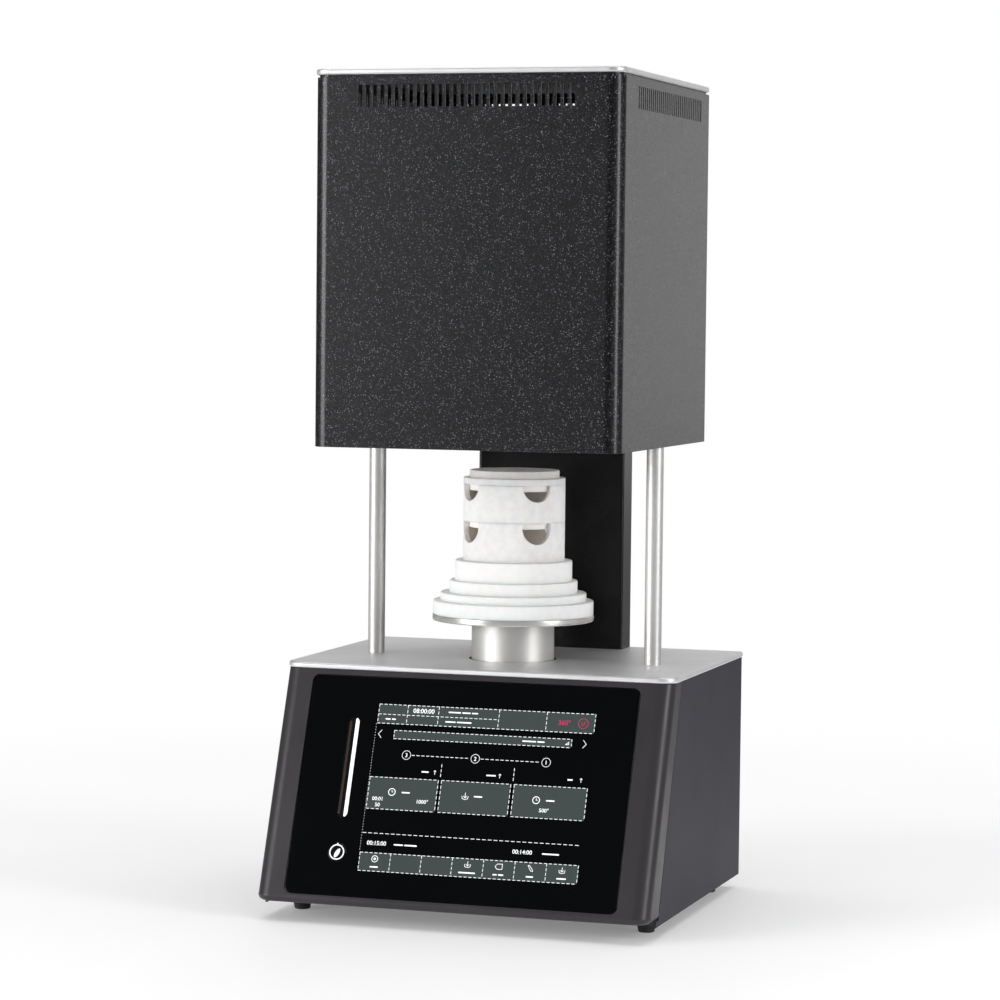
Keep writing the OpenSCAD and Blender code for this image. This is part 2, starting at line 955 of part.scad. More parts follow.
module carriage() {
    wall = 4;
    ear = bearing_d / 2 + wall;
    color([0.6, 0.6, 0.63])
        at_lift()
            difference() {
                union() {
                    disc(ram_r + wall, z_carriage, carriage_t);
                    for (s = [-1, 1])
                        translate([s * guide_x, 0, 0])
                            disc(ear, z_carriage, carriage_t);
                    block(-guide_x, guide_x, -ear, ear, z_carriage, z_carriage + carriage_t);
                }
                disc(nut_body_r + run_gap, z_carriage - over, carriage_t + 2 * over);
                for (s = [-1, 1])
                    translate([s * guide_x, 0, 0])
                        disc(bearing_d / 2 + run_gap, z_carriage - over, carriage_t + 2 * over);
            }
}

module spindle_nut() {
    flange_w = 7;
    flange_t = 6;
    color("goldenrod")
        at_lift()
            difference() {
                union() {
                    disc(nut_body_r, z_carriage, carriage_t + nut_h);
                    disc(nut_body_r + flange_w, z_carriage + carriage_t, flange_t);
                }
                disc(spindle_d / 2 + run_gap, z_carriage - over, carriage_t + nut_h + 2 * over);
            }
}

module guide_bearings() {
    color([0.55, 0.55, 0.58])
        for (s = [-1, 1])
            translate([s * guide_x, lift_y, 0])
                ring(bearing_d / 2, guide_d / 2 + run_gap, z_carriage - bearing_drop, bearing_l);
}

// Power electronics in the base

module transformer() {
    core_w = 84;
    core_d = 66;
    coil_w = 50;
    coil_d = 88;
    coil_h = 56;
    coil_r = 10;
    foot = 3;
    foot_l = 10;
    bolt_x = 34;
    bolt_r = 2.5;
    color([0.35, 0.3, 0.2])
        translate([transformer_x, transformer_y, floor_top])
            difference() {
                union() {
                    translate([-core_w / 2, -core_d / 2, 0])
                        cube([core_w, core_d, transformer_h]);
                    translate([0, 0, transformer_h / 2])
                        rotate([90, 0, 0])
                            translate([0, 0, -coil_d / 2])
                                linear_extrude(coil_d)
                                    rounded_square(-coil_w / 2, coil_w / 2, -coil_h / 2, coil_h / 2, coil_r);
                    translate([-core_w / 2, -core_d / 2 - foot_l, 0])
                        cube([core_w, core_d + 2 * foot_l, foot]);
                }
                for (s = [-1, 1], t = [-1, 1])
                    translate([s * bolt_x, t * (core_d + foot_l) / 2, -over])
                        cylinder(r = bolt_r, h = foot + 2 * over);
            }
}

module power_board() {
    place = [92, 18];
    size = [84, 100, 2];
    stand = 10;
    inset = 5;
    post_r = 3;
    sink = [8, 20, 22, 60, 4];
    fins = 5;
    fin = [2, 34];
    capacitors = 3;
    capacitor = [50, 24, 10, 32];
    capacitor_pitch = 26;
    terminals = [66, 10, 14, 80, 18];
    top = stand + size[2] - tiny;
    color([0.1, 0.35, 0.2])
        translate([place[0], place[1], floor_top]) {
            translate([0, 0, stand])
                cube(size);
            for (x = [inset, size[0] - inset], y = [inset, size[1] - inset])
                translate([x, y, 0])
                    cylinder(r = post_r, h = stand + tiny);
            for (i = [0 : fins - 1])
                translate([sink[0] + i * (sink[2] - fin[0]) / (fins - 1), sink[1], top])
                    cube([fin[0], sink[3], fin[1]]);
            for (b = [sink, terminals])
                translate([b[0], b[1], top])
                    cube([b[2], b[3], b[4]]);
            for (i = [0 : capacitors - 1])
                translate([capacitor[0], capacitor[1] + i * capacitor_pitch, top])
                    cylinder(r = capacitor[2], h = capacitor[3]);
        }
}

// Columns and wiring

module columns() {
    color("silver")
        both_sides(column_x)
            at_lift() {
                disc(column_d / 2, base_h, head_z - base_h);
                disc(stud_d / 2, base_h - stud_l, stud_l + tiny);
                disc(stud_d / 2, head_z - tiny, stud_l);
            }
}

module column_nuts() {
    nut_t = 7;
    nut_r = stud_d / 2 + 3.4;
    color("dimgray")
        both_sides(column_x)
            at_lift()
                for (z = [plate_z - nut_t, block_z])
                    translate([0, 0, z])
                        difference() {
                            rotate([0, 0, 30])
                                cylinder(r = nut_r, h = nut_t, $fn = 6);
                            disc(stud_d / 2 + run_gap, -over, nut_t + 2 * over);
                        }
}

module rear_column() {
    wall = 2;
    y0 = case_back - rear_d;
    color([0.06, 0.06, 0.06])
        translate([0, 0, base_h])
            linear_extrude(head_z - base_h)
                difference() {
                    rounded_square(-rear_w / 2, rear_w / 2, y0, case_back, 2.5);
                    translate([-rear_w / 2 + wall, y0 + wall])
                        square([rear_w - 2 * wall, rear_d - 2 * wall]);
                }
}

module heater_leads() {
    lug_y = lead_y + lug_l;
    base_z = floor_top + transformer_h;
    high_z = base_z + 40;
    low_z = high_z - 2 * lead_d;
    end_y = transformer_y + 10;
    end_x = [transformer_x + 20, transformer_x - 12];
    lug_z = strap_z + strap_t / 2;
    color([0.5, 0.1, 0.08]) {
        cable([[-lead_x, lug_y, lug_z],
            [-lead_x, duct_y, lug_z],
            [-lead_x, duct_y, high_z],
            [end_x[0], duct_y, high_z],
            [end_x[0], end_y, high_z],
            [end_x[0], end_y, base_z]], lead_d);
        cable([[lead_x, lug_y, lug_z],
            [lead_x, duct_y, lug_z],
            [lead_x, duct_y, low_z],
            [end_x[1], duct_y, low_z],
            [end_x[1], end_y, low_z],
            [end_x[1], end_y, base_z]], lead_d);
    }
}

module signal_loom() {
    plug = board_chips[2];
    plug_w = board_w - board_t - plug[4];
    plug_x = plug[0] + plug[2] / 2;
    plug_v = -plug[1] - plug[3] / 2;
    board_end = front_point(plug_x, plug_v, plug_w);
    board_turn = front_point(plug_x, plug_v, plug_w - 14);
    run_z = plate_z - 18;
    run_x = 96;
    run_y = duct_y - 12;
    color([0.15, 0.35, 0.2])
        cable([[0, lift_y + 12, probe_head_z + probe_head_h / 2],
            [0, duct_y, probe_head_z + probe_head_h / 2],
            [0, duct_y, run_z],
            [0, run_y, run_z],
            [run_x, run_y, run_z],
            [run_x, board_turn[1], run_z],
            board_turn,
            board_end], loom_d);
}

// Head

module head_bottom_plate() {
    half = head_w / 2 - sheet - 0.1;
    color([0.1, 0.1, 0.1])
        translate([0, 0, head_z])
            difference() {
                linear_extrude(head_plate_t)
                    front_rounded(half, head_front + sheet + 0.1, head_rear_face - sheet, head_r - sheet);
                at_lift(-over)
                    cylinder(r = tier_1_d / 2 + plug_gap, h = head_plate_t + 2 * over);
                both_sides(column_x)
                    at_lift(-over)
                        cylinder(d = stud_d + 2 * run_gap, h = head_plate_t + 2 * over);
                translate([-duct_w / 2, duct_y - duct_d / 2, -over])
                    cube([duct_w, duct_d, head_plate_t + 2 * over]);
            }
}

module vent_row(count, thickness) {
    for (i = [0 : count - 1])
        translate([(i - (count - 1) / 2) * vent_pitch - vent_w / 2, -thickness / 2, vent_z])
            cube([vent_w, thickness, vent_h]);
}

module head_casing() {
    half = head_w / 2;
    inner = half - sheet;
    lip = 10;
    color([0.1, 0.1, 0.11])
        difference() {
            union() {
                translate([0, 0, head_z])
                    linear_extrude(head_h)
                        difference() {
                            front_rounded(half, head_front, y_back, head_r);
                            front_rounded(inner, head_front + sheet, y_back + over, head_r - sheet);
                        }
                translate([0, 0, case_top - sheet])
                    linear_extrude(sheet + top_gap)
                        difference() {
                            front_rounded(inner, head_front + sheet, head_rear_face - sheet,
                                head_r - sheet);
                            front_rounded(inner - lip, head_front + sheet + lip,
                                head_rear_face - sheet - lip, head_r - sheet);
                        }
            }
            translate([0, head_front, 0])
                vent_row(front_vents, 4 * sheet);
            both_sides(half)
                translate([0, (head_front + y_back) / 2 + vent_shift, 0])
                    rotate([0, 0, 90])
                        vent_row(side_vents, 4 * sheet);
        }
}

module head_rear_panel() {
    half = head_w / 2 - sheet - 0.1;
    rows = 5;
    color([0.1, 0.1, 0.11])
        difference() {
            block(-half, half, head_rear_face - sheet, head_rear_face, head_z, case_top);
            translate([0, head_rear_face, 0])
                vent_row(front_vents, 4 * sheet);
            for (i = [0 : rows - 1], s = [-1, 1])
                block(s * 45 - 35, s * 45 + 35, head_rear_face - 2 * sheet, head_rear_face + over,
                    head_z + 30 + i * 9, head_z + 33.4 + i * 9);
        }
}

module head_top_plate() {
    color("silver")
        translate([0, 0, top_z])
            thick_plate(head_w / 2 + top_over, head_front - top_over, y_back, top_t, head_r, plate_back_r);
}

// Firing chamber

module element_terminals() {
    at_lift()
        for (a = element_angles, s = [-1, 1]) {
            p = terminal_xy(a, s);
            translate([p[0], p[1], 0])
                children();
        }
}

module insulation_jacket() {
    color([0.7, 0.7, 0.7])
        difference() {
            at_lift()
                difference() {
                    block(-jacket_half, jacket_half, -jacket_half, jacket_half, block_z, jacket_top);
                    block(-jacket_half + 1, jacket_half - 1, -jacket_half + 1, jacket_half - 1,
                        block_z - over, roof_top);
                }
            element_terminals()
                disc(terminal_d / 2 + 1.5, roof_top - over, jacket_t + 2 * over);
            at_lift()
                disc(probe_d / 2 + 0.5, roof_top - over, jacket_t + 2 * over);
        }
}

module insulation(z0, z1) {
    block(-block_half, block_half, -block_half, block_half, z0, z1);
}

module throat_block() {
    color([0.95, 0.94, 0.9])
        at_lift()
            difference() {
                insulation(block_z, hot_z);
                disc(tier_1_d / 2 + plug_gap, block_z - over, step_1 - block_z + over);
                disc(tier_2_d / 2 + plug_gap, block_z, step_2 - block_z);
                disc(tier_3_d / 2 + plug_gap, block_z, step_3 - block_z);
                disc(tier_4_d / 2 + plug_gap, block_z, hot_z - block_z + over);
            }
}

module chamber_block() {
    color([0.97, 0.96, 0.93])
        at_lift()
            difference() {
                insulation(hot_z, roof_z);
                disc(hot_r, hot_z - over, roof_z - hot_z + 2 * over);
            }
}

module roof_block() {
    color([0.95, 0.94, 0.9])
        difference() {
            at_lift()
                insulation(roof_z, roof_top);
            element_terminals()
                disc(terminal_d / 2 + pass_gap, roof_z - over, roof_t + 2 * over);
            at_lift()
                disc(probe_d / 2 + pass_gap, roof_z - over, roof_t + 2 * over);
        }
}

module heating_elements() {
    bend_z = element_z + leg_pitch / 2 + leg_d / 2;
    color([0.3, 0.3, 0.32])
        at_lift()
            for (a = element_angles)
                rotate([0, 0, a])
                    translate([element_r, 0, 0]) {
                        for (s = [-1, 1])
                            translate([0, s * leg_pitch / 2, 0]) {
                                disc(leg_d / 2, bend_z, cold_z - bend_z + tiny);
                                disc(terminal_d / 2, cold_z, terminal_top - cold_z);
                            }
                        translate([0, 0, bend_z])
                            rotate([90, 180, 90])
                                rotate_extrude(angle = 180, $fn = 48)
                                    translate([leg_pitch / 2, 0])
                                        circle(d = leg_d, $fn = 24);
                    }
}

module element_clamps() {
    length = leg_pitch + 16;
    color([0.85, 0.83, 0.78])
        at_lift()
            for (a = element_angles)
                rotate([0, 0, a])
                    translate([element_r, 0, 0])
                        difference() {
                            block(-8, 8, -length / 2, length / 2, jacket_top, jacket_top + clamp_h);
                            for (s = [-1, 1])
                                translate([0, s * leg_pitch / 2, 0])
                                    disc(terminal_d / 2 + run_gap, jacket_top - over,
                                        clamp_h + 2 * over);
                        }
}

module strap(p, q) {
    v = q - p;
    difference() {
        union() {
            for (c = [p, q])
                translate([c[0], c[1], strap_z])
                    cylinder(r = ring_r, h = strap_t);
            translate([p[0], p[1], strap_z])
                rotate([0, 0, atan2(v[1], v[0])])
                    translate([0, -strap_w / 2, 0])
                        cube([norm(v), strap_w, strap_t]);
        }
        for (c = [p, q])
            translate([c[0], c[1], strap_z - over])
                cylinder(d = terminal_d + 2 * run_gap, h = strap_t + 2 * over);
    }
}

module terminal_straps() {
    color([0.8, 0.8, 0.82])
        at_lift() {
            strap(terminal_xy(45, -1), terminal_xy(315, 1));
            strap(terminal_xy(315, -1), terminal_xy(225, 1));
            strap(terminal_xy(225, -1), terminal_xy(135, 1));
            for (s = [-1, 1])
                translate([s * lead_x, lead_y - lift_y, strap_z])
                    difference() {
                        union() {
                            cylinder(r = ring_r, h = strap_t);
                            translate([-strap_w / 2, 0, 0])
                                cube([strap_w, lug_l, strap_t]);
                        }
                        translate([0, 0, -over])
                            cylinder(d = terminal_d + 2 * run_gap, h = strap_t + 2 * over);
                    }
        }
}

module thermocouple() {
    collar_r = 7;
    collar_h = 6;
    head_half = 12;
    color([0.9, 0.9, 0.88])
        at_lift() {
            disc(probe_d / 2, probe_tip + probe_d / 2, probe_head_z - probe_tip - probe_d / 2 + tiny);
            translate([0, 0, probe_tip + probe_d / 2])
                sphere(d = probe_d);
            disc(collar_r, jacket_top, collar_h);
            block(-head_half, head_half, -head_half, head_half, probe_head_z, probe_head_z + probe_head_h);
        }
}

// Rear fittings

module at_rear(x, z) {
    translate([x, rear_face, z])
        rotate([-90, 0, 0])
            mirror([0, 1, 0])
                children();
}

module mains_inlet() {
    flange = [50, 24, 2];
    cavity = 20;
    hole_x = 20;
    hole_r = 1.7;
    mouth = [[-12, -8.2], [12, -8.2], [12, 3.2], [7.5, 8.2], [-7.5, 8.2], [-12, 3.2]];
    pins = [[-7, -2], [0, 2], [7, -2]];
    pin = [2, 4, 15.5];
    color([0.05, 0.05, 0.05])
        at_rear(inlet_x, fitting_height)
            difference() {
                union() {
                    linear_extrude(flange[2])
                        rounded_square(-flange[0] / 2, flange[0] / 2,
                            -flange[1] / 2, flange[1] / 2, 3);
                    translate([-inlet_body[0] / 2, -inlet_body[1] / 2, -socket_d - 4])
                        cube([inlet_body[0], inlet_body[1], socket_d + 4 + tiny]);
                }
                translate([0, 0, flange[2] - cavity])
                    linear_extrude(cavity + over)
                        polygon(mouth);
                for (s = [-1, 1])
                    translate([s * hole_x, 0, -over])
                        cylinder(r = hole_r, h = flange[2] + 2 * over);
            }
    color("silver")
        at_rear(inlet_x, fitting_height)
            for (p = pins)
                translate([p[0] - pin[0] / 2, p[1] - pin[1] / 2, flange[2] - cavity - 1])
                    cube(pin);
}

module data_socket() {
    flange = [24, 22, 1.5];
    body_l = 18;
    cavity = 13;
    color([0.12, 0.12, 0.12])
        at_rear(data_x, fitting_height)
            difference() {
                union() {
                    linear_extrude(flange[2])
                        rounded_square(-flange[0] / 2, flange[0] / 2,
                            -flange[1] / 2, flange[1] / 2, 2);
                    translate([-data_body[0] / 2, -data_body[1] / 2, -body_l])
                        cube([data_body[0], data_body[1], body_l + tiny]);
                }
                translate([-6, -4.5, -cavity])
                    cube([12, 8, cavity + flange[2] + over]);
                translate([-3, -6, -cavity])
                    cube([6, 2, cavity + flange[2] + over]);
            }
}

module rocker_pin(r, length) {
    translate([-length / 2, 0, rocker_pivot])
        rotate([0, 90, 0])
            cylinder(r = r, h = length);
}

module switch_housing() {
    flange = [26, 33, 2];
    well = 12;
    well_h = 24;
    color([0.05, 0.05, 0.05])
        at_rear(switch_x, fitting_height)
            difference() {
                union() {
                    linear_extrude(flange[2])
                        rounded_square(-flange[0] / 2, flange[0] / 2,
                            -flange[1] / 2, flange[1] / 2, 2);
                    translate([-switch_body[0] / 2, -switch_body[1] / 2, -socket_d])
                        cube([switch_body[0], switch_body[1], socket_d + tiny]);
                }
                translate([-rocker_w / 2 - pass_gap, -well_h / 2, flange[2] - well])
                    cube([rocker_w + 2 * pass_gap, well_h, well + over]);
                rocker_pin(pin_r + run_gap, rocker_w + 4);
            }
}

module rocker() {
    pin_l = 0.8;
    half = 10;
    color([0.04, 0.04, 0.04])
        at_rear(switch_x, fitting_height) {
            translate([0, 0, rocker_pivot])
                rotate([rocker_tilt, 0, 0])
                    rotate([90, 0, 90])
                        translate([0, 0, -rocker_w / 2])
                            linear_extrude(rocker_w)
                                polygon([[1 - half, 0], [-half, rocker_r + 0.4], [0, rocker_r - 1.4],
                                    [half, rocker_r + 0.4], [half - 1, 0]]);
            rocker_pin(pin_r, rocker_w + 2 * pin_l);
        }
}

module fan_place() {
    translate([fan_x, rear_face - sheet, fan_z])
        rotate([90, 0, 0])
            children();
}

module fan_frame() {
    hole_inset = 4.2;
    hole_r = 2.1;
    color([0.07, 0.07, 0.07])
        fan_place()
            difference() {
                union() {
                    difference() {
                        linear_extrude(fan_t)
                            rounded_square(-fan_w / 2, fan_w / 2, -fan_w / 2, fan_w / 2, 5);
                        disc(fan_r, -over, fan_t + 2 * over);
                    }
                    for (a = [0, 120, 240])
                        rotate([0, 0, a + 10])
                            block(0, fan_r + 0.8, -2, 2, fan_t - 3.2, fan_t - 0.6);
                    disc(hub_r, fan_t - 3.5, 3.2);
                    disc(axle_r, fan_t - axle_l, axle_l - 2);
                }
                for (x = [-1, 1], y = [-1, 1])
                    translate([x * (fan_w / 2 - hole_inset), y * (fan_w / 2 - hole_inset), 0])
                        disc(hole_r, -over, fan_t + 2 * over);
            }
}

module fan_impeller() {
    blade_r = fan_r - 1;
    depth_z = fan_t - 5;
    color([0.1, 0.1, 0.11])
        fan_place()
            difference() {
                union() {
                    disc(hub_r, 1.5, depth_z);
                    intersection() {
                        disc(blade_r, 2, depth_z - 1);
                        for (i = [0 : fan_blades - 1])
                            rotate([0, 0, i * 360 / fan_blades])
                                translate([hub_r - 2, 0, 1.5 + depth_z / 2])
                                    rotate([38, 0, 0])
                                        translate([0, -1, -18])
                                            cube([blade_r, 2, 36]);
                    }
                }
                disc(axle_r + run_gap, fan_t - axle_l - 0.5, axle_l);
            }
}

module fan_guard() {
    ear_r = 50;
    color("silver")
        translate([fan_x, rear_face, fan_z])
            rotate([-90, 0, 0]) {
                for (r = guard_rings)
                    ring(r + wire_d / 2, r - wire_d / 2, 0, wire_d);
                for (a = [45, 135])
                    rotate([0, 0, a])
                        block(-ear_r, ear_r, -wire_d / 2, wire_d / 2, 0, wire_d);
                for (a = [45 : 90 : 315])
                    rotate([0, 0, a])
                        translate([ear_r, 0, 0])
                            disc(3, 0, wire_d);
            }
}

// Lift, plug and trays

module ram() {
    color([0.8, 0.8, 0.8])
        at_lift()
            ring(ram_r, ram_r - ram_t, z_carriage + carriage_t, ram_top - z_carriage - carriage_t);
}

module lift_plate() {
    chamfer = 1;
    r = lift_plate_d / 2;
    color([0.85, 0.85, 0.85])
        at_lift(ram_top)
            rotate_extrude()
                polygon([[0, 0], [r - chamfer, 0], [r, chamfer], [r, lift_plate_t - chamfer],
                    [r - chamfer, lift_plate_t], [0, lift_plate_t]]);
}

// Ceramic disc with an eased upper edge
module ceramic_disc(d, z, h) {
    ease = 0.8;
    color([0.97, 0.96, 0.94])
        at_lift(z)
            rotate_extrude()
                polygon([[0, 0], [d / 2, 0], [d / 2, h - ease], [d / 2 - ease, h], [0, h]]);
}

module plug_tier_1() {
    ceramic_disc(tier_1_d, lift_top, tier_1_h);
}

module plug_tier_2() {
    ceramic_disc(tier_2_d, z_tier_2, tier_2_h);
}

module plug_tier_3() {
    ceramic_disc(tier_3_d, z_tier_3, tier_3_h);
}

module plug_tier_4() {
    ceramic_disc(tier_4_d, z_tier_4, tier_4_h);
}

// Notch open at the rim: straight sides over a half round
module notches(rim, deep) {
    r = notch_w / 2;
    for (a = [45 : 90 : 315])
        rotate([0, 0, a])
            translate([tray_d / 2 - 2.5 * tray_wall, 0, rim - deep + r])
                rotate([0, 90, 0])
                    rotate([0, 0, 90])
                        linear_extrude(4 * tray_wall) {
                            circle(r);
                            translate([-r, 0])
                                square([notch_w, deep - r + over]);
                        }
}

module spigot(z) {
    r = tray_d / 2 - tray_wall - spigot_gap;
    ring(r, r - 5, z - spigot_h, spigot_h + tiny);
}

module tray_body(h, deep) {
    difference() {
        cylinder(d = tray_d, h = h);
        disc(tray_d / 2 - tray_wall, tray_floor, h);
        notches(h, deep);
    }
}

module tray_lower() {
    color([0.97, 0.96, 0.94])
        at_lift(z_lower)
            tray_body(lower_h, lower_notch);
}

module tray_upper() {
    color([0.97, 0.96, 0.94])
        at_lift(z_upper) {
            tray_body(upper_h, upper_notch);
            spigot(0);
        }
}

module tray_lid() {
    rise_r = tray_d / 2 - tray_wall - spigot_gap;
    color([0.97, 0.96, 0.94])
        at_lift(z_lid) {
            disc(tray_d / 2, 0, lid_flange);
            disc(rise_r, lid_flange - tiny, lid_rise + tiny);
            spigot(0);
        }
}

base_top_plate();
front_shell();
side_panel_left();
side_panel_right();
base_rear_panel();
base_floor();
feet();
screws();
glass_panel();
display_frame();
display_module();
light_bar();
power_button();
control_board();
power_board();
transformer();
drive_frame();
motor();
motor_pulley();
drive_belt();
spindle();
spindle_pulley();
guide_rods();
ram_wiper();
columns();
column_nuts();
rear_column();
heater_leads();
signal_loom();
head_bottom_plate();
head_casing();
head_rear_panel();
head_top_plate();
insulation_jacket();
throat_block();
chamber_block();
roof_block();
heating_elements();
element_clamps();
terminal_straps();
thermocouple();
mains_inlet();
data_socket();
switch_housing();
rocker();
fan_frame();
fan_guard();
fan_impeller();
ram();
lift_plate();
plug_tier_1();
plug_tier_2();
plug_tier_3();
plug_tier_4();
carriage();
spindle_nut();
guide_bearings();
tray_lower();
tray_upper();
tray_lid();
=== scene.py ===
"""Looks of a bench-top dental furnace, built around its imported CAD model."""

import math

import bmesh
import bpy
from mathutils import Matrix, Vector


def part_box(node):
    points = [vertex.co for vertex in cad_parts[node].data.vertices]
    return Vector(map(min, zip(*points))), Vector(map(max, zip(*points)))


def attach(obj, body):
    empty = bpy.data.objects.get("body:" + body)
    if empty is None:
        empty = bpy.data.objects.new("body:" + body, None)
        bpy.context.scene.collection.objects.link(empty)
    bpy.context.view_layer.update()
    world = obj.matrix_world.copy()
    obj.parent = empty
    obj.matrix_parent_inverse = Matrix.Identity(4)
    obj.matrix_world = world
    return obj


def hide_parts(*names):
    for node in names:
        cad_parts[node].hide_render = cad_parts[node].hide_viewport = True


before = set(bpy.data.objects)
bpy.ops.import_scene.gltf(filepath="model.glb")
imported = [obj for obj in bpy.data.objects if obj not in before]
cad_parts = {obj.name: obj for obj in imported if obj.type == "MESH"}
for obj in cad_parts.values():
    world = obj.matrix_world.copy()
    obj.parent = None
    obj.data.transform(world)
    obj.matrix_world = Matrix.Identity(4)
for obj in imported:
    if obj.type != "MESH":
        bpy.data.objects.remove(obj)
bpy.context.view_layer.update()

MM = 0.001

# Base: the front leans back from a rolled lip to the silver plate
SLOPE = math.radians(21.1)
BASE_CORNER = 15 * MM
BACK_CORNER = 4 * MM
LIP = 5 * MM
LIP_STEPS = 8
SHELL = 3 * MM
SEAM_TOP = 32 * MM
SEAM_BOTTOM = 36 * MM
TOE = 7 * MM
PANEL_GAP = 0.4 * MM
PLATE_EDGE = 2 * MM
SHEET_EDGE = 0.35 * MM
HOLE_EDGE = 0.3 * MM
FOOT_R = 9 * MM

# Glass, lit slot and key, in the plane of the front
GLASS_HALF = 157.25 * MM
GLASS_TOP = -5.2 * MM
GLASS_H = 206 * MM
GLASS_T = 3 * MM
GLASS_CORNER = 6.5 * MM
GLASS_GAP = 0.5 * MM
GLASS_EDGE = 0.4 * MM
LIGHT_X = -111.5 * MM
LIGHT_TOP = -44.3 * MM
LIGHT_L = 94.5 * MM
LIGHT_W = 10 * MM
LIGHT_GAP = 0.2 * MM
LIGHT_DEPTH = 4.5 * MM
LIGHT_RECESS = 0.3 * MM
KEY_Y = -171.1 * MM
KEY_R = 8.5 * MM
KEY_GAP = 0.3 * MM
KEY_RECESS = 0.1 * MM
SCREEN_X = 14.5 * MM
SCREEN_TOP = -30.8 * MM
SCREEN_W = 206.8 * MM
SCREEN_H = 155.8 * MM

# Head
HEAD_CORNER = 14.3 * MM
SHEET = 2 * MM
HEAD_FLANGE = 10 * MM
VENT_W = 3.4 * MM
VENT_PITCH = 6.9 * MM
VENT_DROP = 7.4 * MM
VENT_H = 20 * MM
FRONT_VENTS = 30
SIDE_VENTS = 33
VENT_SHIFT = 12 * MM
SCREW_INSET = 12 * MM

# Lift, plug and trays
TRAY_WALL = 5.3 * MM
TRAY_FLOOR = 5 * MM
TRAY_EASE = 0.7 * MM
NOTCH_W = 30 * MM
NOTCH_TURNS = (45, 135, 225, 315)
LOWER_NOTCH = 20 * MM
UPPER_NOTCH = 15.6 * MM
SPIGOT_GAP = 0.4 * MM
SPIGOT_WALL = 5 * MM
LID_FLANGE = 6 * MM

base_low, base_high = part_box("base_top_plate")
PLATE_Z = base_low.z
FRONT_TOP_Y = base_low.y
PLATE_OVER = base_high.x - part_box("front_shell")[1].x
BASE_HALF = base_high.x - PLATE_OVER
FLOOR_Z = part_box("side_panel_left")[0].z
LIP_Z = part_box("front_shell")[0].z
FRONT_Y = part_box("front_shell")[0].y
SEAM_LEAN = (FRONT_TOP_Y + SEAM_TOP - FRONT_Y - SEAM_BOTTOM) / (PLATE_Z - FLOOR_Z)
tray_low, tray_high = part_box("tray_lower")
LIFT_Y = (tray_low.y + tray_high.y) / 2
TRAY_R = tray_high.x
SPIGOT_R = TRAY_R - TRAY_WALL - SPIGOT_GAP
LID_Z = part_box("tray_upper")[1].z - 1 * MM

ON_FRONT = (Matrix.Translation((0, FRONT_TOP_Y, PLATE_Z))
            @ Matrix.Rotation(math.pi / 2 - SLOPE, 4, "X"))
AT_LIFT = Matrix.Translation((0, LIFT_Y, 0))
TO_REAR = Matrix.Rotation(-math.pi / 2, 4, "X")
ALONG_X = Matrix(((0, 0, 1, 0), (1, 0, 0, 0), (0, 1, 0, 0), (0, 0, 0, 1)))


# Outlines: an outer loop runs anticlockwise and a hole clockwise

def arc(cx, cy, r, start, end, steps=8):
    """Points of an arc, its angles in degrees."""
    turns = [math.radians(start + (end - start) * i / steps) for i in range(steps + 1)]
    return [(cx + r * math.cos(a), cy + r * math.sin(a)) for a in turns]


def rounded_box(x0, x1, y0, y1, r, r_back=None, steps=8):
    """Rectangle with rounded corners, those at the high y side of their own radius."""
    b = r if r_back is None else r_back
    return (arc(x0 + r, y0 + r, r, 180, 270, steps) + arc(x1 - r, y0 + r, r, 270, 360, steps)
            + arc(x1 - b, y1 - b, b, 0, 90, steps) + arc(x0 + b, y1 - b, b, 90, 180, steps))


def pill(cx, y0, y1, width, steps=12):
    """Upright slot with half round ends."""
    r = width / 2
    return arc(cx, y0 + r, r, 180, 360, steps) + arc(cx, y1 - r, r, 0, 180, steps)


def ring_loop(cx, cy, r, steps=64):
    """Circle."""
    return arc(cx, cy, r, 0, 360 - 360 / steps, steps - 1)


def hole(loop):
    """The loop as a hole."""
    return loop[::-1]


def inset(loop, distance):
    """The loop moved into its material, mitred at the corners."""
    moved = []
    for i, point in enumerate(loop):
        p, a, b = (Vector(q) for q in (point, loop[i - 1], loop[(i + 1) % len(loop)]))
        before, after = (p - a).normalized(), (b - p).normalized()
        normal = Vector((-before.y - after.y, before.x + after.x)).normalized()
        reach = max(0.3, normal.dot(Vector((-before.y, before.x))))
        moved.append(tuple(p + normal * distance / reach))
    return moved


# Meshes

def bridge(bm, rings, closed=True):
    """Quads between rings of equal length."""
    for lower, upper in zip(rings, rings[1:]):
        count = len(lower)
        for i in range(count if closed else count - 1):
            j = (i + 1) % count
            corners = [lower[i], lower[j], upper[j], upper[i]]
            unique = list(dict.fromkeys(corners))
            if len(unique) > 2:
                bm.faces.new(unique)


def add_slab(bm, loops, low, high, edge, steps=3):
    """Flat solid inside the first loop and outside the others, with rounded edges.

    edge is one radius, or one for each loop."""
    edges = edge if isinstance(edge, (list, tuple)) else [edge] * len(loops)
    turns = [math.pi / 2 * k / steps for k in range(steps + 1)]
    caps = ([], [])
    for loop, e in zip(loops, edges):
        rise = [(e * (1 - math.sin(a)), low + e * (1 - math.cos(a))) for a in turns]
        fall = [(d, low + high - z) for d, z in reversed(rise)]
        rings = [[bm.verts.new((x, y, z)) for x, y in inset(loop, d)] for d, z in rise + fall]
        bridge(bm, rings)
        for cap, ring in zip(caps, (rings[0], rings[-1])):
            cap += [bm.edges.get((ring[i - 1], ring[i])) for i in range(len(ring))]
    for cap in caps:
        bmesh.ops.triangle_fill(bm, use_beauty=True, edges=cap)


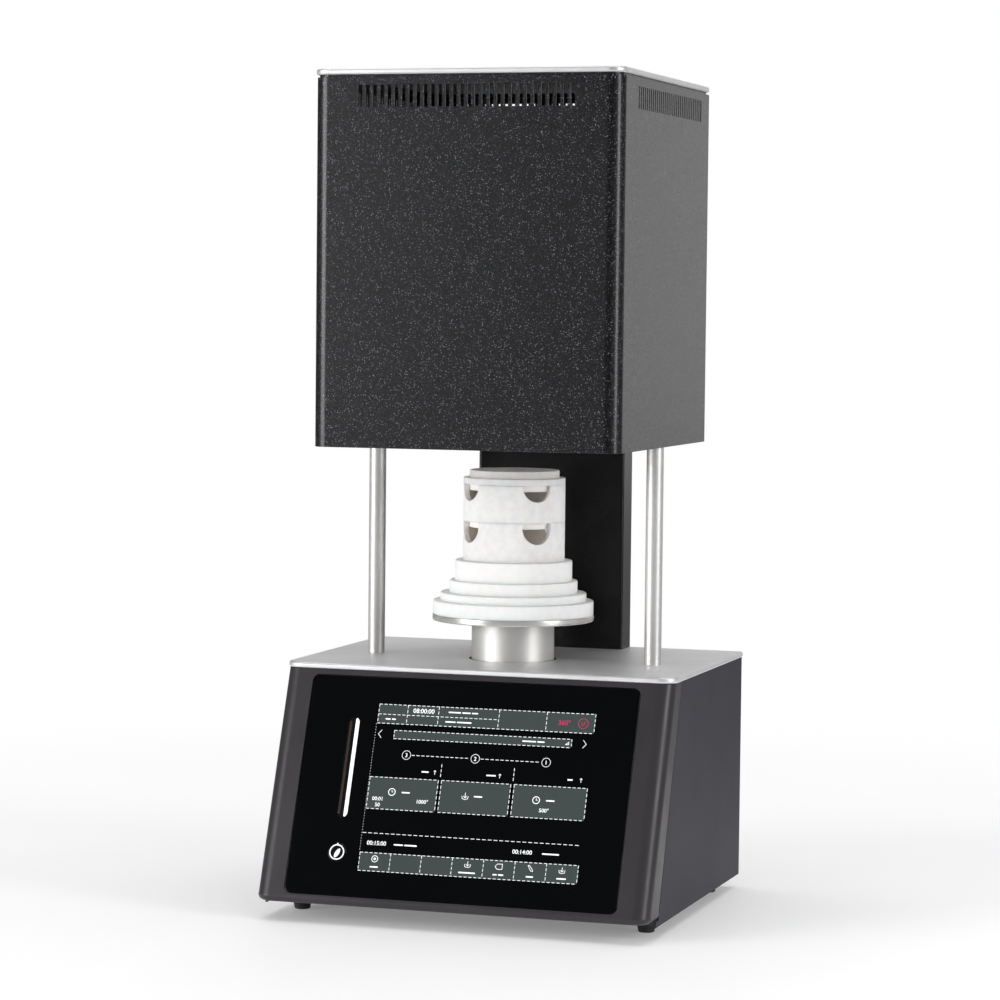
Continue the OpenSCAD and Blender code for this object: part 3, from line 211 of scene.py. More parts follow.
def eased(corners, steps=4):
    """Profile whose corners (radius, height, ease) are rounded by their ease."""
    points = []
    for i, (r, z, ease) in enumerate(corners):
        if not ease:
            points.append((r, z))
            continue
        p = Vector((r, z))
        a = Vector(corners[i - 1][:2])
        b = Vector(corners[(i + 1) % len(corners)][:2])
        start = p + (a - p).normalized() * ease
        end = p + (b - p).normalized() * ease
        for k in range(steps + 1):
            t = k / steps
            points.append(tuple(start * (1 - t) ** 2 + p * 2 * t * (1 - t) + end * t ** 2))
    return points


def add_turned(bm, profile, steps, place=Matrix.Identity(4), closed=False, sides=None):
    """Solid of revolution about Z. A point on the axis is one vertex.

    closed joins the profile's ends, and sides makes the radii those of a polygon."""
    rings = []
    for r, z in profile:
        if r < 1e-7:
            rings.append([bm.verts.new(place @ Vector((0, 0, z)))] * steps)
            continue
        ring = []
        for k in range(steps):
            turn = 2 * math.pi * k / steps
            reach = r
            if sides and r <= sides[1]:
                half = math.pi / sides[0]
                reach = r / math.cos((turn % (2 * half)) - half)
            ring.append(bm.verts.new(place @ Vector((reach * math.cos(turn), reach * math.sin(turn), z))))
        rings.append(ring)
    bridge(bm, rings + rings[:1] if closed else rings)


def add_tube(bm, points, radius, sides, closed=False):
    """Round tube along the points, its ends capped."""
    path = [Vector(p) for p in points]
    count = len(path)
    side = Vector((0, 0, 1))
    rings = []
    for i, p in enumerate(path):
        before = path[i - 1] if i or closed else p
        after = path[(i + 1) % count] if i < count - 1 or closed else p
        along = (after - before).normalized()
        if abs(along.dot(side)) > 0.95:
            side = Vector((1, 0, 0))
        u = along.cross(side).normalized()
        v = along.cross(u)
        rings.append([bm.verts.new(p + (u * math.cos(a) + v * math.sin(a)) * radius)
                      for a in (2 * math.pi * k / sides for k in range(sides))])
    bridge(bm, rings + rings[:1] if closed else rings)
    if not closed:
        bm.faces.new(rings[0][::-1])
        bm.faces.new(rings[-1])


def add_block(bm, low, high):
    """Box between two corners."""
    size, middle = Vector(high) - Vector(low), (Vector(high) + Vector(low)) / 2
    for v in bmesh.ops.create_cube(bm, size=1)["verts"]:
        v.co = middle + Vector(a * b for a, b in zip(v.co, size))


def new_object(name, data):
    """Object linked to the scene."""
    obj = bpy.data.objects.new(name, data)
    bpy.context.scene.collection.objects.link(obj)
    return obj


def mesh_object(name, build, place=Matrix.Identity(4)):
    """Object from build(bm), in place, with its normals outward."""
    bm = bmesh.new()
    build(bm)
    bmesh.ops.remove_doubles(bm, verts=bm.verts, dist=1e-7)
    bmesh.ops.recalc_face_normals(bm, faces=bm.faces)
    bm.transform(place)
    mesh = bpy.data.meshes.new(name)
    bm.to_mesh(mesh)
    bm.free()
    return new_object(name, mesh)


def settle(obj):
    """The object's modifiers worked into its mesh."""
    evaluated = obj.evaluated_get(bpy.context.evaluated_depsgraph_get())
    mesh = bpy.data.meshes.new_from_object(evaluated)
    obj.modifiers.clear()
    obj.data = mesh


def cut(obj, build, place=Matrix.Identity(4)):
    """Takes the solids that build(bm) makes out of the object."""
    cutter = mesh_object("cutter", build, place)
    modifier = obj.modifiers.new("cut", "BOOLEAN")
    modifier.operation = "DIFFERENCE"
    modifier.solver = "EXACT"
    modifier.object = cutter
    bpy.context.view_layer.update()
    settle(obj)
    bpy.data.objects.remove(cutter)


def soften(obj, width, segments=2, angle=35):
    """Rounds the sharp edges."""
    modifier = obj.modifiers.new("soft_edges", "BEVEL")
    modifier.width = width
    modifier.segments = segments
    modifier.limit_method = "ANGLE"
    modifier.angle_limit = math.radians(angle)
    modifier.use_clamp_overlap = True
    bpy.context.view_layer.update()
    settle(obj)


def piece(obj, body, slot, material, *replaced, smooth=30):
    """Gives a finished mesh its material, shading and body; slot is not used."""
    obj.data.materials.clear()
    obj.data.materials.append(material)
    obj.data.shade_smooth()
    obj.data.set_sharp_from_angle(angle=math.radians(smooth))
    weighted = obj.modifiers.new("face_normals", "WEIGHTED_NORMAL")
    weighted.keep_sharp = True
    bpy.context.view_layer.update()
    settle(obj)
    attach(obj, body)
    if replaced:
        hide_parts(*replaced)


# Materials

class Nodes:
    """A node tree and short ways to fill it."""

    def __init__(self, tree):
        self.tree = tree

    def put(self, target, value):
        """Links a socket to an input, or sets the input's value."""
        if isinstance(value, bpy.types.NodeSocket):
            self.tree.links.new(value, target)
        else:
            target.default_value = value

    def add(self, kind, inputs=None, **settings):
        """A node with its settings, and with its inputs by name or number."""
        node = self.tree.nodes.new(kind)
        for key, value in settings.items():
            setattr(node, key, value)
        for key, value in (inputs or {}).items():
            self.put(node.inputs[key], value)
        return node

    def spread(self, value, low, high, a=0.0, b=1.0):
        """Maps low to high onto a to b, smoothly and clamped."""
        inputs = {"Value": value, "From Min": low, "From Max": high, "To Min": a, "To Max": b}
        return self.add("ShaderNodeMapRange", inputs, interpolation_type="SMOOTHSTEP").outputs["Result"]

    def maths(self, operation, a, b=0.0):
        return self.add("ShaderNodeMath", {0: a, 1: b}, operation=operation).outputs["Value"]

    def rays(self):
        """1 for camera rays, and 1 for camera, glossy and transmission rays."""
        path = self.add("ShaderNodeLightPath").outputs
        shown = path["Is Camera Ray"]
        for name in ("Is Glossy Ray", "Is Transmission Ray"):
            shown = self.maths("MAXIMUM", shown, path[name])
        return path["Is Camera Ray"], shown


class Surface(Nodes):
    """One Principled shader and the few nodes that drive it."""

    def __init__(self, name, rough, metal=0.0, **sockets):
        self.material = bpy.data.materials.new(name)
        self.material.use_nodes = True
        super().__init__(self.material.node_tree)
        self.shader = self.tree.nodes["Principled BSDF"]
        for key, value in {"Metallic": metal, "Roughness": rough, **sockets}.items():
            self.shader.inputs[key.replace("_", " ")].default_value = value
        self.coords = self.add("ShaderNodeTexCoord").outputs["Object"]

    def stretched(self, stretch):
        """Coordinates scaled along each axis, so that a noise runs in streaks."""
        return self.add("ShaderNodeMapping", {"Vector": self.coords, "Scale": stretch}).outputs["Vector"]

    def noise(self, scale, detail, stretch=None, rough=0.5):
        coords = self.stretched(stretch) if stretch else self.coords
        inputs = {"Vector": coords, "Scale": scale, "Detail": detail, "Roughness": rough}
        return self.add("ShaderNodeTexNoise", inputs).outputs["Fac"]

    def cells(self, scale):
        """Distance to the nearest of the points strewn about."""
        return self.add("ShaderNodeTexVoronoi", {"Vector": self.coords, "Scale": scale}).outputs["Distance"]

    def mix(self, factor, a, b):
        """Colour between a and b, each a colour or a socket."""
        a, b = (c if isinstance(c, bpy.types.NodeSocket) else (*c, 1.0) for c in (a, b))
        return self.add("ShaderNodeMix", {"Factor": factor, 6: a, 7: b}, data_type="RGBA").outputs[2]

    def colour(self, socket):
        self.put(self.shader.inputs["Base Color"], socket)

    def roughness(self, socket):
        self.put(self.shader.inputs["Roughness"], socket)

    def bump(self, height, distance, strength):
        node = self.add("ShaderNodeBump", {"Strength": strength, "Distance": distance, "Height": height})
        self.put(self.shader.inputs["Normal"], node.outputs["Normal"])


def mottled(name, dark, light, scale, rough, spread, grain, depth=0.03 * MM, metal=0.0, stretch=None,
            **sockets):
    """Plain finish: a slow drift of colour, a finer one of gloss, and a fine grain."""
    s = Surface(name, rough, metal, **sockets)
    drift = s.noise(scale, 4.0, stretch)
    s.colour(s.mix(s.spread(drift, 0.3, 0.7), dark, light))
    s.roughness(s.spread(s.noise(scale * 3, 3.0, stretch), 0.3, 0.7, rough - spread, rough + spread))
    s.bump(s.noise(grain, 2.0, stretch), depth, 0.5)
    return s.material


def powder_coat():
    """Black powder coat: a fine leathery grain under a gloss, its raised tops painted pale as glints of caught
    light.
    """
    s = Surface("powder_coat", 0.45, 0.0, Specular_IOR_Level=0.26, Coat_Weight=0.4, Coat_Roughness=0.2)
    grain = s.spread(s.noise(780, 2.0, rough=0.65), 0.42, 0.68)
    raised_tops_and_painted_glints = s.spread(s.cells(560), 0.34, 0.14)
    strewn = s.spread(s.noise(210, 2.0), 0.40, 0.64, 0.15, 1.0)
    ground = s.mix(grain, (0.0003, 0.0003, 0.0005), (0.0062, 0.0063, 0.0088))
    # Painted glints: the grain's raised tops are lifted in colour to a pale blue-grey, standing in for light
    # that catches them.
    s.colour(s.mix(s.maths("MULTIPLY", raised_tops_and_painted_glints, strewn), ground, (0.20, 0.204, 0.25)))
    s.roughness(s.spread(s.noise(900, 2.0), 0.3, 0.7, 0.27, 0.39))
    s.bump(s.maths("ADD", grain, s.maths("MULTIPLY", raised_tops_and_painted_glints, 0.5)), 0.22 * MM, 0.6)
    return s.material


def satin_metal(name, dark, light, rough, streak, metal=1.0):
    """Blasted, anodised or ground metal. streak stretches its marks along the axes."""
    s = Surface(name, rough, metal)
    cloud = s.noise(14, 3.0)
    marks = s.noise(1, 2.0, streak)
    tone = s.maths("ADD", s.maths("MULTIPLY", cloud, 0.7), s.maths("MULTIPLY", marks, 0.3))
    s.colour(s.mix(s.spread(tone, 0.3, 0.7), dark, light))
    s.roughness(s.spread(marks, 0.3, 0.7, rough - 0.03, rough + 0.03))
    s.bump(s.noise(2600, 2.0), 0.012 * MM, 0.4)
    return s.material


def fibre_ceramic(name, dark, light, rough=0.75, inside=None):
    """Fired ceramic fibre: chalky, with faint warm blotches and fine pores.

    inside is the radius and height about the lift's axis within which the colour is painted lighter and
    warmer: painted light, in place of the light that bounces inside the trays."""
    s = Surface(name, rough, 0.0, Subsurface_Weight=0.6, Subsurface_Scale=9 * MM)
    s.shader.inputs["Subsurface Radius"].default_value = (1.0, 0.78, 0.66)
    blotch = s.spread(s.noise(17, 2.0), 0.5, 0.75)
    body = s.mix(s.spread(s.noise(140, 4.0), 0.3, 0.7), dark, light)
    shade = s.mix(s.maths("MULTIPLY", blotch, 0.35), body, (0.95, 0.885, 0.87))
    # Painted light: inside the trays the colour is lifted to a lighter, warmer tone, standing in for the light
    # that bounces within them.
    if inside:
        x, y, z = s.add("ShaderNodeSeparateXYZ", {0: s.coords}).outputs
        y = s.maths("SUBTRACT", y, LIFT_Y)
        radius = s.maths("SQRT", s.maths("ADD", s.maths("MULTIPLY", x, x), s.maths("MULTIPLY", y, y)))
        near = s.maths("LESS_THAN", radius, inside[0])
        under = s.maths("LESS_THAN", z, inside[1])
        shade = s.mix(s.maths("MULTIPLY", near, under), shade, (0.98, 0.90, 0.85))
    s.colour(shade)
    pores = s.spread(s.cells(900), 0.05, 0.3, -0.6, 0.0)
    s.bump(s.maths("ADD", s.noise(520, 4.0), pores), 0.08 * MM, 0.35)
    return s.material


def lit(name, dark, light, strength):
    """Lit display element: a faint pixel grain in its glow, under gloss."""
    s = Surface(name, 0.12)
    glow = s.mix(s.spread(s.cells(2500), 0.1, 0.5), light, dark)
    s.colour(s.mix(0.5, (0.02, 0.02, 0.02), dark))
    s.put(s.shader.inputs["Emission Color"], glow)
    s.shader.inputs["Emission Strength"].default_value = strength
    return s.material


def glossy(name, dark, light, rough=0.06, smudge=0.05, **sockets):
    """Glass or polished plastic with faint smudges in its gloss."""
    s = Surface(name, rough, 0.0, **sockets)
    s.colour(s.mix(s.spread(s.noise(9, 2.0), 0.35, 0.7), dark, light))
    s.roughness(s.spread(s.noise(28, 4.0), 0.4, 0.75, rough, rough + smudge))
    s.bump(s.noise(60, 1.0), 0.004 * MM, 0.3)
    return s.material


# Finishes

COAT = powder_coat()
COLUMN_PAINT = mottled("column_paint", (0.0008, 0.0009, 0.0012), (0.0016, 0.0017, 0.0022), 7, 0.26, 0.02,
                       1600, 0.02 * MM, Specular_IOR_Level=0.36)
SILVER = satin_metal("silver_plate", (0.78, 0.78, 0.79), (0.83, 0.83, 0.84), 0.46, (60, 60, 60), metal=0.75)
SATIN = satin_metal("satin_column", (0.70, 0.69, 0.68), (0.75, 0.74, 0.73), 0.44, (6, 6, 300), metal=0.7)
TURNED = satin_metal("turned_ram", (0.70, 0.69, 0.67), (0.75, 0.74, 0.72), 0.48, (5, 5, 400), metal=0.7)
POLISHED = satin_metal("polished_plate", (0.74, 0.73, 0.71), (0.82, 0.81, 0.79), 0.28, (8, 8, 300),
                       metal=0.75)
SHELL_PAINT = mottled("front_paint", (0.034, 0.030, 0.034), (0.039, 0.035, 0.039), 9, 0.34, 0.04, 1900,
                      Specular_IOR_Level=0.3)
SIDE_PAINT = mottled("side_paint", (0.035, 0.034, 0.0445), (0.039, 0.038, 0.049), 5, 0.55, 0.02, 1700,
                     Specular_IOR_Level=0.16)
DARK_SHEET = mottled("dark_sheet", (0.022, 0.022, 0.023), (0.036, 0.036, 0.038), 12, 0.48, 0.06, 1400,
                     0.05 * MM)
RUBBER = mottled("rubber", (0.010, 0.010, 0.010), (0.020, 0.020, 0.021), 60, 0.72, 0.08, 900, 0.12 * MM)
MOULDED = mottled("moulded_black", (0.012, 0.012, 0.013), (0.022, 0.022, 0.024), 40, 0.5, 0.08, 1500,
                  0.06 * MM)
BLACK_STEEL = mottled("black_steel", (0.03, 0.03, 0.032), (0.07, 0.07, 0.075), 90, 0.4, 0.08, 1800, metal=0.8)
PLATED = satin_metal("plated_wire", (0.55, 0.55, 0.55), (0.75, 0.75, 0.75), 0.22, (300, 300, 300))
BLACK_GLASS = glossy("black_glass", (0.0006, 0.0009, 0.0013), (0.0009, 0.0012, 0.0017),
                     Specular_IOR_Level=0.4)
KEY_FACE = glossy("key_face", (0.0035, 0.0038, 0.0042), (0.006, 0.006, 0.007), 0.1)
# The trays' insides carry painted light, a lighter and warmer colour.
TRAY = fibre_ceramic("tray_ceramic", (0.84, 0.81, 0.795), (0.90, 0.88, 0.87),
                     inside=(TRAY_R - TRAY_WALL + 0.3 * MM, LID_Z))
PLUG = fibre_ceramic("plug_ceramic", (0.915, 0.905, 0.885), (0.95, 0.945, 0.93))
BOARD_FIBRE = fibre_ceramic("insulation_fibre", (0.78, 0.75, 0.70), (0.88, 0.86, 0.82), 0.9)
GLOW = lit("light_glow", (0.80, 0.82, 0.84), (1.0, 1.0, 1.0), 1.0)
# Painted reflection: a faint brown glow for the status light's reflection on the far wall of its channel.
REFLECTION_GLOW = lit("painted_reflection_glow", (0.030, 0.016, 0.012), (0.060, 0.034, 0.026), 0.5)
MARKS = lit("screen_marks", (0.80, 0.83, 0.83), (0.96, 1.0, 1.0), 1.0)
TILES = lit("screen_tiles", (0.036, 0.049, 0.047), (0.050, 0.066, 0.063), 0.8)
ACCENT = lit("screen_accent", (0.45, 0.020, 0.09), (0.70, 0.035, 0.15), 0.9)
SCREEN = glossy("screen_black", (0.0012, 0.0014, 0.0016), (0.0025, 0.003, 0.003), 0.05)
JACKET = satin_metal("jacket_steel", (0.42, 0.42, 0.42), (0.6, 0.6, 0.6), 0.36, (4, 4, 400))
MACHINED = satin_metal("machined_aluminium", (0.45, 0.45, 0.46), (0.62, 0.62, 0.63), 0.38, (500, 8, 8))
GROUND = satin_metal("ground_steel", (0.55, 0.55, 0.55), (0.72, 0.72, 0.72), 0.16, (6, 6, 1800))
BRONZE = satin_metal("bronze", (0.40, 0.26, 0.11), (0.60, 0.41, 0.19), 0.3, (7, 7, 900))
SILICIDE = mottled("silicide", (0.045, 0.045, 0.05), (0.14, 0.14, 0.15), 120, 0.34, 0.1, 900, 0.05 * MM,
                   metal=0.6)
CLAMP = mottled("clamp_ceramic", (0.70, 0.67, 0.60), (0.82, 0.79, 0.72), 60, 0.55, 0.1, 900, 0.05 * MM)
BRAID = mottled("braid", (0.42, 0.42, 0.43), (0.70, 0.70, 0.71), 350, 0.35, 0.1, 700, 0.3 * MM,
                metal=1.0, stretch=(1, 3, 1))
SILICONE = mottled("silicone_lead", (0.28, 0.035, 0.03), (0.38, 0.055, 0.045), 50, 0.55, 0.08, 600, 0.08 * MM)
LOOM = mottled("braided_loom", (0.03, 0.10, 0.05), (0.08, 0.2, 0.11), 500, 0.7, 0.1, 700, 0.3 * MM)
SOLDER_MASK = mottled("solder_mask", (0.012, 0.10, 0.04), (0.03, 0.19, 0.08), 180, 0.35, 0.1, 800, 0.1 * MM)
LAMINATED = mottled("laminated_core", (0.10, 0.085, 0.065), (0.24, 0.21, 0.17), 1, 0.5, 0.1, 500, 0.2 * MM,
                    metal=0.5, stretch=(900, 12, 12))
MOTOR_COAT = mottled("motor_black", (0.016, 0.016, 0.017), (0.03, 0.03, 0.032), 50, 0.45, 0.08, 1200,
                     0.05 * MM)
PROBE = glossy("probe_ceramic", (0.72, 0.70, 0.65), (0.82, 0.80, 0.76), 0.3, 0.15)

NODE_FINISHES = {
    COAT: ["head_bottom_plate", "head_rear_panel"],
    COLUMN_PAINT: ["rear_column"],
    DARK_SHEET: ["base_rear_panel", "base_floor", "display_frame"],
    RUBBER: ["ram_wiper", "drive_belt"],
    SATIN: ["columns"],
    TURNED: ["ram"],
    MOULDED: ["mains_inlet", "data_socket", "switch_housing", "rocker", "fan_frame"],
    BLACK_STEEL: ["column_nuts"],
    BOARD_FIBRE: ["throat_block", "chamber_block", "roof_block"],
    JACKET: ["insulation_jacket"],
    MACHINED: ["drive_frame", "carriage", "motor_pulley", "spindle_pulley"],
    GROUND: ["spindle", "guide_rods", "guide_bearings"],
    BRONZE: ["spindle_nut"],
    SILICIDE: ["heating_elements"],
    CLAMP: ["element_clamps"],
    BRAID: ["terminal_straps"],
    SILICONE: ["heater_leads"],
    LOOM: ["signal_loom"],
    SOLDER_MASK: ["control_board", "power_board"],
    LAMINATED: ["transformer"],
    MOTOR_COAT: ["motor"],
    PROBE: ["thermocouple"],
    SCREEN: ["display_module"],
}
for finish, names in NODE_FINISHES.items():
    for name in names:
        for material_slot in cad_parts[name].material_slots:
            material_slot.material = finish


# Casings

def thick_plate(name, node, corner, holes=()):
    """Silver plate with rounded edges, from its node's box."""
    low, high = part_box(node)
    outline = rounded_box(low.x, high.x, low.y, high.y, corner, BACK_CORNER, 12)
    loops = [outline] + [hole(h) for h in holes]
    edges = [PLATE_EDGE] + [HOLE_EDGE] * len(holes)
    obj = mesh_object(name, lambda bm: add_slab(bm, loops, low.z, high.z, edges, 6))
    piece(obj, "root", "silver_plate", SILVER, node)


def top_plates():
    wiper_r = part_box("ram_wiper")[1].x
    thick_plate("base_top", "base_top_plate", BASE_CORNER + PLATE_OVER, [ring_loop(0, LIFT_Y, wiper_r, 96)])
    thick_plate("head_top", "head_top_plate", HEAD_CORNER)


def seam_at(z):
    """Y of the seam between the front shell and the side panels."""
    return FRONT_Y + SEAM_BOTTOM + SEAM_LEAN * (z - FLOOR_Z)


def shell_skin(bm, drawn_in):
    """Rows of vertices of the front shell's outer skin, or of one drawn in from it."""
    corner_x = BASE_HALF - BASE_CORNER
    lip = LIP - drawn_in
    full = BASE_CORNER - drawn_in
    rows = []
    for k in range(LIP_STEPS + 1):
        turn = -math.pi / 2 + (math.pi / 2 + SLOPE) * k / LIP_STEPS
        rows.append((full - lip + lip * math.cos(turn), FRONT_Y + BASE_CORNER,
                     LIP_Z + drawn_in + lip * (1 + math.sin(turn))))
    rows.append((full, FRONT_TOP_Y + drawn_in / math.cos(SLOPE) + full, PLATE_Z))
    skin = []
    for r, cy, z in rows:
        seam = seam_at(z)
        path = ([(-corner_x - r, seam)] + arc(-corner_x, cy, r, 180, 270, 14)
                + arc(corner_x, cy, r, 270, 360, 14) + [(corner_x + r, seam)])
        skin.append([bm.verts.new((x, y, z)) for x, y in path])
    return skin


def front_shell():
    def build(bm):
        rims = []
        for drawn_in in (0, SHELL):
            skin = shell_skin(bm, drawn_in)
            bridge(bm, skin, closed=False)
            bm.faces.new(skin[0])
            right = [row[-1] for row in skin[-2::-1]]
            left = [row[0] for row in skin[:-1]]
            rims.append(skin[-1] + right + left)
        bridge(bm, rims)

    obj = mesh_object("front_casing", build)
    window = rounded_box(-GLASS_HALF - GLASS_GAP, GLASS_HALF + GLASS_GAP, GLASS_TOP - GLASS_H - GLASS_GAP,
                         GLASS_TOP + GLASS_GAP, GLASS_CORNER + GLASS_GAP)
    cut(obj, lambda bm: add_slab(bm, [window], -2 * SHELL, 2 * SHELL, 0.01 * MM, 1), ON_FRONT)
    soften(obj, 0.4 * MM)
    piece(obj, "root", "front_shell", SHELL_PAINT, "front_shell")


def side_panels():
    for node in ("side_panel_left", "side_panel_right"):
        low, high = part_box(node)
        toe_z = LIP_Z - PANEL_GAP
        toe_y = seam_at(low.z) - TOE
        outline = [(toe_y, low.z), (high.y, low.z), (high.y, high.z), (seam_at(high.z) + PANEL_GAP, high.z),
                   (seam_at(toe_z) + PANEL_GAP, toe_z), (toe_y + 2 * MM, toe_z)]
        panel = mesh_object(node + "_skin", lambda bm: add_slab(
            bm, [outline], low.x, high.x, 0.5 * MM), ALONG_X)
        piece(panel, "root", "side_panel", SIDE_PAINT, node)


def vent_slots(bm, count, z):
    """Cutters for a row of upright slots along X, through a sheet at y 0."""
    for i in range(count):
        x = (i - (count - 1) / 2) * VENT_PITCH
        add_block(bm, (x - VENT_W / 2, -2 * SHEET, z), (x + VENT_W / 2, 2 * SHEET, z + VENT_H))


def head_casing():
    low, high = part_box("head_casing")
    case_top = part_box("head_rear_panel")[1].z
    half, inner = high.x, high.x - SHEET
    inner_corner = HEAD_CORNER - SHEET
    front = low.y
    outside = (arc(-half + HEAD_CORNER, front + HEAD_CORNER, HEAD_CORNER, 180, 270, 20)
               + arc(half - HEAD_CORNER, front + HEAD_CORNER, HEAD_CORNER, 270, 360, 20))
    inside = (arc(half - HEAD_CORNER, front + HEAD_CORNER, inner_corner, 360, 270, 20)
              + arc(-half + HEAD_CORNER, front + HEAD_CORNER, inner_corner, 270, 180, 20))
    outline = ([(-half, high.y)] + outside + [(half, high.y), (inner, high.y)] + inside
               + [(-inner, high.y)])
    obj = mesh_object("head_shell", lambda bm: add_slab(bm, [outline], low.z, case_top, SHEET_EDGE, 2))
    slot_z = case_top - VENT_DROP - VENT_H
    cut(obj, lambda bm: vent_slots(bm, FRONT_VENTS, slot_z), Matrix.Translation((0, front, 0)))
    side_middle = (front + high.y) / 2 + VENT_SHIFT
    for side in (-1, 1):
        turn = Matrix.Translation((side * half, side_middle, 0)) @ Matrix.Rotation(math.pi / 2, 4, "Z")
        cut(obj, lambda bm: vent_slots(bm, SIDE_VENTS, slot_z), turn)
    soften(obj, 0.2 * MM, 1, 60)
    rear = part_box("head_rear_panel")[0].y
    rim = rounded_box(-inner, inner, front + SHEET, rear, inner_corner, 1 * MM)
    opening = rounded_box(-inner + HEAD_FLANGE, inner - HEAD_FLANGE, front + SHEET + HEAD_FLANGE,
                          rear - HEAD_FLANGE, inner_corner, 1 * MM)
    ledge = mesh_object("head_flange", lambda bm: add_slab(
        bm, [rim, hole(opening)], case_top - SHEET, high.z, 0.2 * MM))
    piece(obj, "root", "black_coat", COAT, "head_casing")
    piece(ledge, "root", "black_coat", COAT)


# Glass, display, status light and key

def front_glass():
    outline = rounded_box(-GLASS_HALF, GLASS_HALF, GLASS_TOP - GLASS_H, GLASS_TOP, GLASS_CORNER)
    slot = pill(LIGHT_X, LIGHT_TOP - LIGHT_L, LIGHT_TOP, LIGHT_W + 2 * LIGHT_GAP)
    key = ring_loop(LIGHT_X, KEY_Y, KEY_R + KEY_GAP)
    obj = mesh_object("front_glass", lambda bm: add_slab(
        bm, [outline, hole(slot), hole(key)], -GLASS_T, 0, [GLASS_EDGE, 0.15 * MM, 0.15 * MM]), ON_FRONT)
    piece(obj, "root", "front_glass", BLACK_GLASS, "glass_panel")


def status_light():
    """Dark channel with a bright glowing strip along one side, and along the other a faint brown strip that
    glows as a painted reflection of it.
    """
    channel = pill(LIGHT_X, LIGHT_TOP - LIGHT_L, LIGHT_TOP, LIGHT_W)
    body = mesh_object("light_channel", lambda bm: add_slab(
        bm, [channel], -LIGHT_DEPTH, -2 * LIGHT_RECESS, 0.1 * MM), ON_FRONT)
    piece(body, "root", "front_glass", KEY_FACE, "light_bar")
    for name, x, width, shorter, material in (
            ("light_strip", 3.2 * MM, 3.6 * MM, 0.6 * MM, GLOW),
            ("painted_reflection_strip", -3.3 * MM, 2.2 * MM, 3.5 * MM, REFLECTION_GLOW)):
        loop = pill(LIGHT_X + x, LIGHT_TOP - LIGHT_L + shorter, LIGHT_TOP - shorter, width)
        strip = mesh_object(name, lambda bm: add_slab(
            bm, [loop], -LIGHT_RECESS - 0.4 * MM, -LIGHT_RECESS, 0.15 * MM), ON_FRONT)
        piece(strip, "root", "light", material)


def leaf(cx, cy, length, width, tilt, steps=10):
    """Pointed oval, leaning by tilt degrees."""
    turn = math.radians(tilt)
    points = []
    for k in range(2 * steps):
        t = math.pi * k / steps
        x, y = width / 2 * math.sin(t) * abs(math.sin(t)) ** 0.3, length / 2 * math.cos(t)
        points.append((cx + x * math.cos(turn) - y * math.sin(turn),
                       cy + x * math.sin(turn) + y * math.cos(turn)))
    return points[::-1]


def power_key():
    """Round key with a ring in place of its symbol, and on it a glowing leaf that is a painted highlight."""
    stem_r, stem_end = 3 * MM, -6.5 * MM
    skirt_r, skirt_end = KEY_R - 1 * MM, -GLASS_T - 2 * MM
    corners = [(0, stem_end, 0), (stem_r, stem_end, 0), (stem_r, skirt_end, 0), (skirt_r, skirt_end, 0),
               (skirt_r, -GLASS_T, 0), (KEY_R, -GLASS_T, 0), (KEY_R, -KEY_RECESS, 0.3 * MM),
               (0, -KEY_RECESS, 0)]
    place = ON_FRONT @ Matrix.Translation((LIGHT_X, KEY_Y, 0))
    cap = mesh_object("key_cap", lambda bm: add_turned(bm, eased(corners), 64), place)
    piece(cap, "power_key", "key", KEY_FACE, "power_button")

    ring = [ring_loop(0, 0, 7.2 * MM), hole(ring_loop(0, 0, 6.1 * MM))]
    # Painted highlight: the glowing leaf stands in for the shine on the key's face.
    highlight_leaf = [leaf(0.4 * MM, -0.9 * MM, 9.6 * MM, 4.0 * MM, -28)]
    tick = [rounded_box(-0.65 * MM, 0.65 * MM, 6.6 * MM, 8.35 * MM, 0.3 * MM)]

    def symbol(bm):
        for loops in (ring, highlight_leaf, tick):
            add_slab(bm, loops, -KEY_RECESS - 0.02 * MM, -KEY_RECESS + 0.03 * MM, 0.01 * MM, 1)

    piece(mesh_object("key_symbol_and_highlight", symbol, place), "power_key", "light", GLOW)


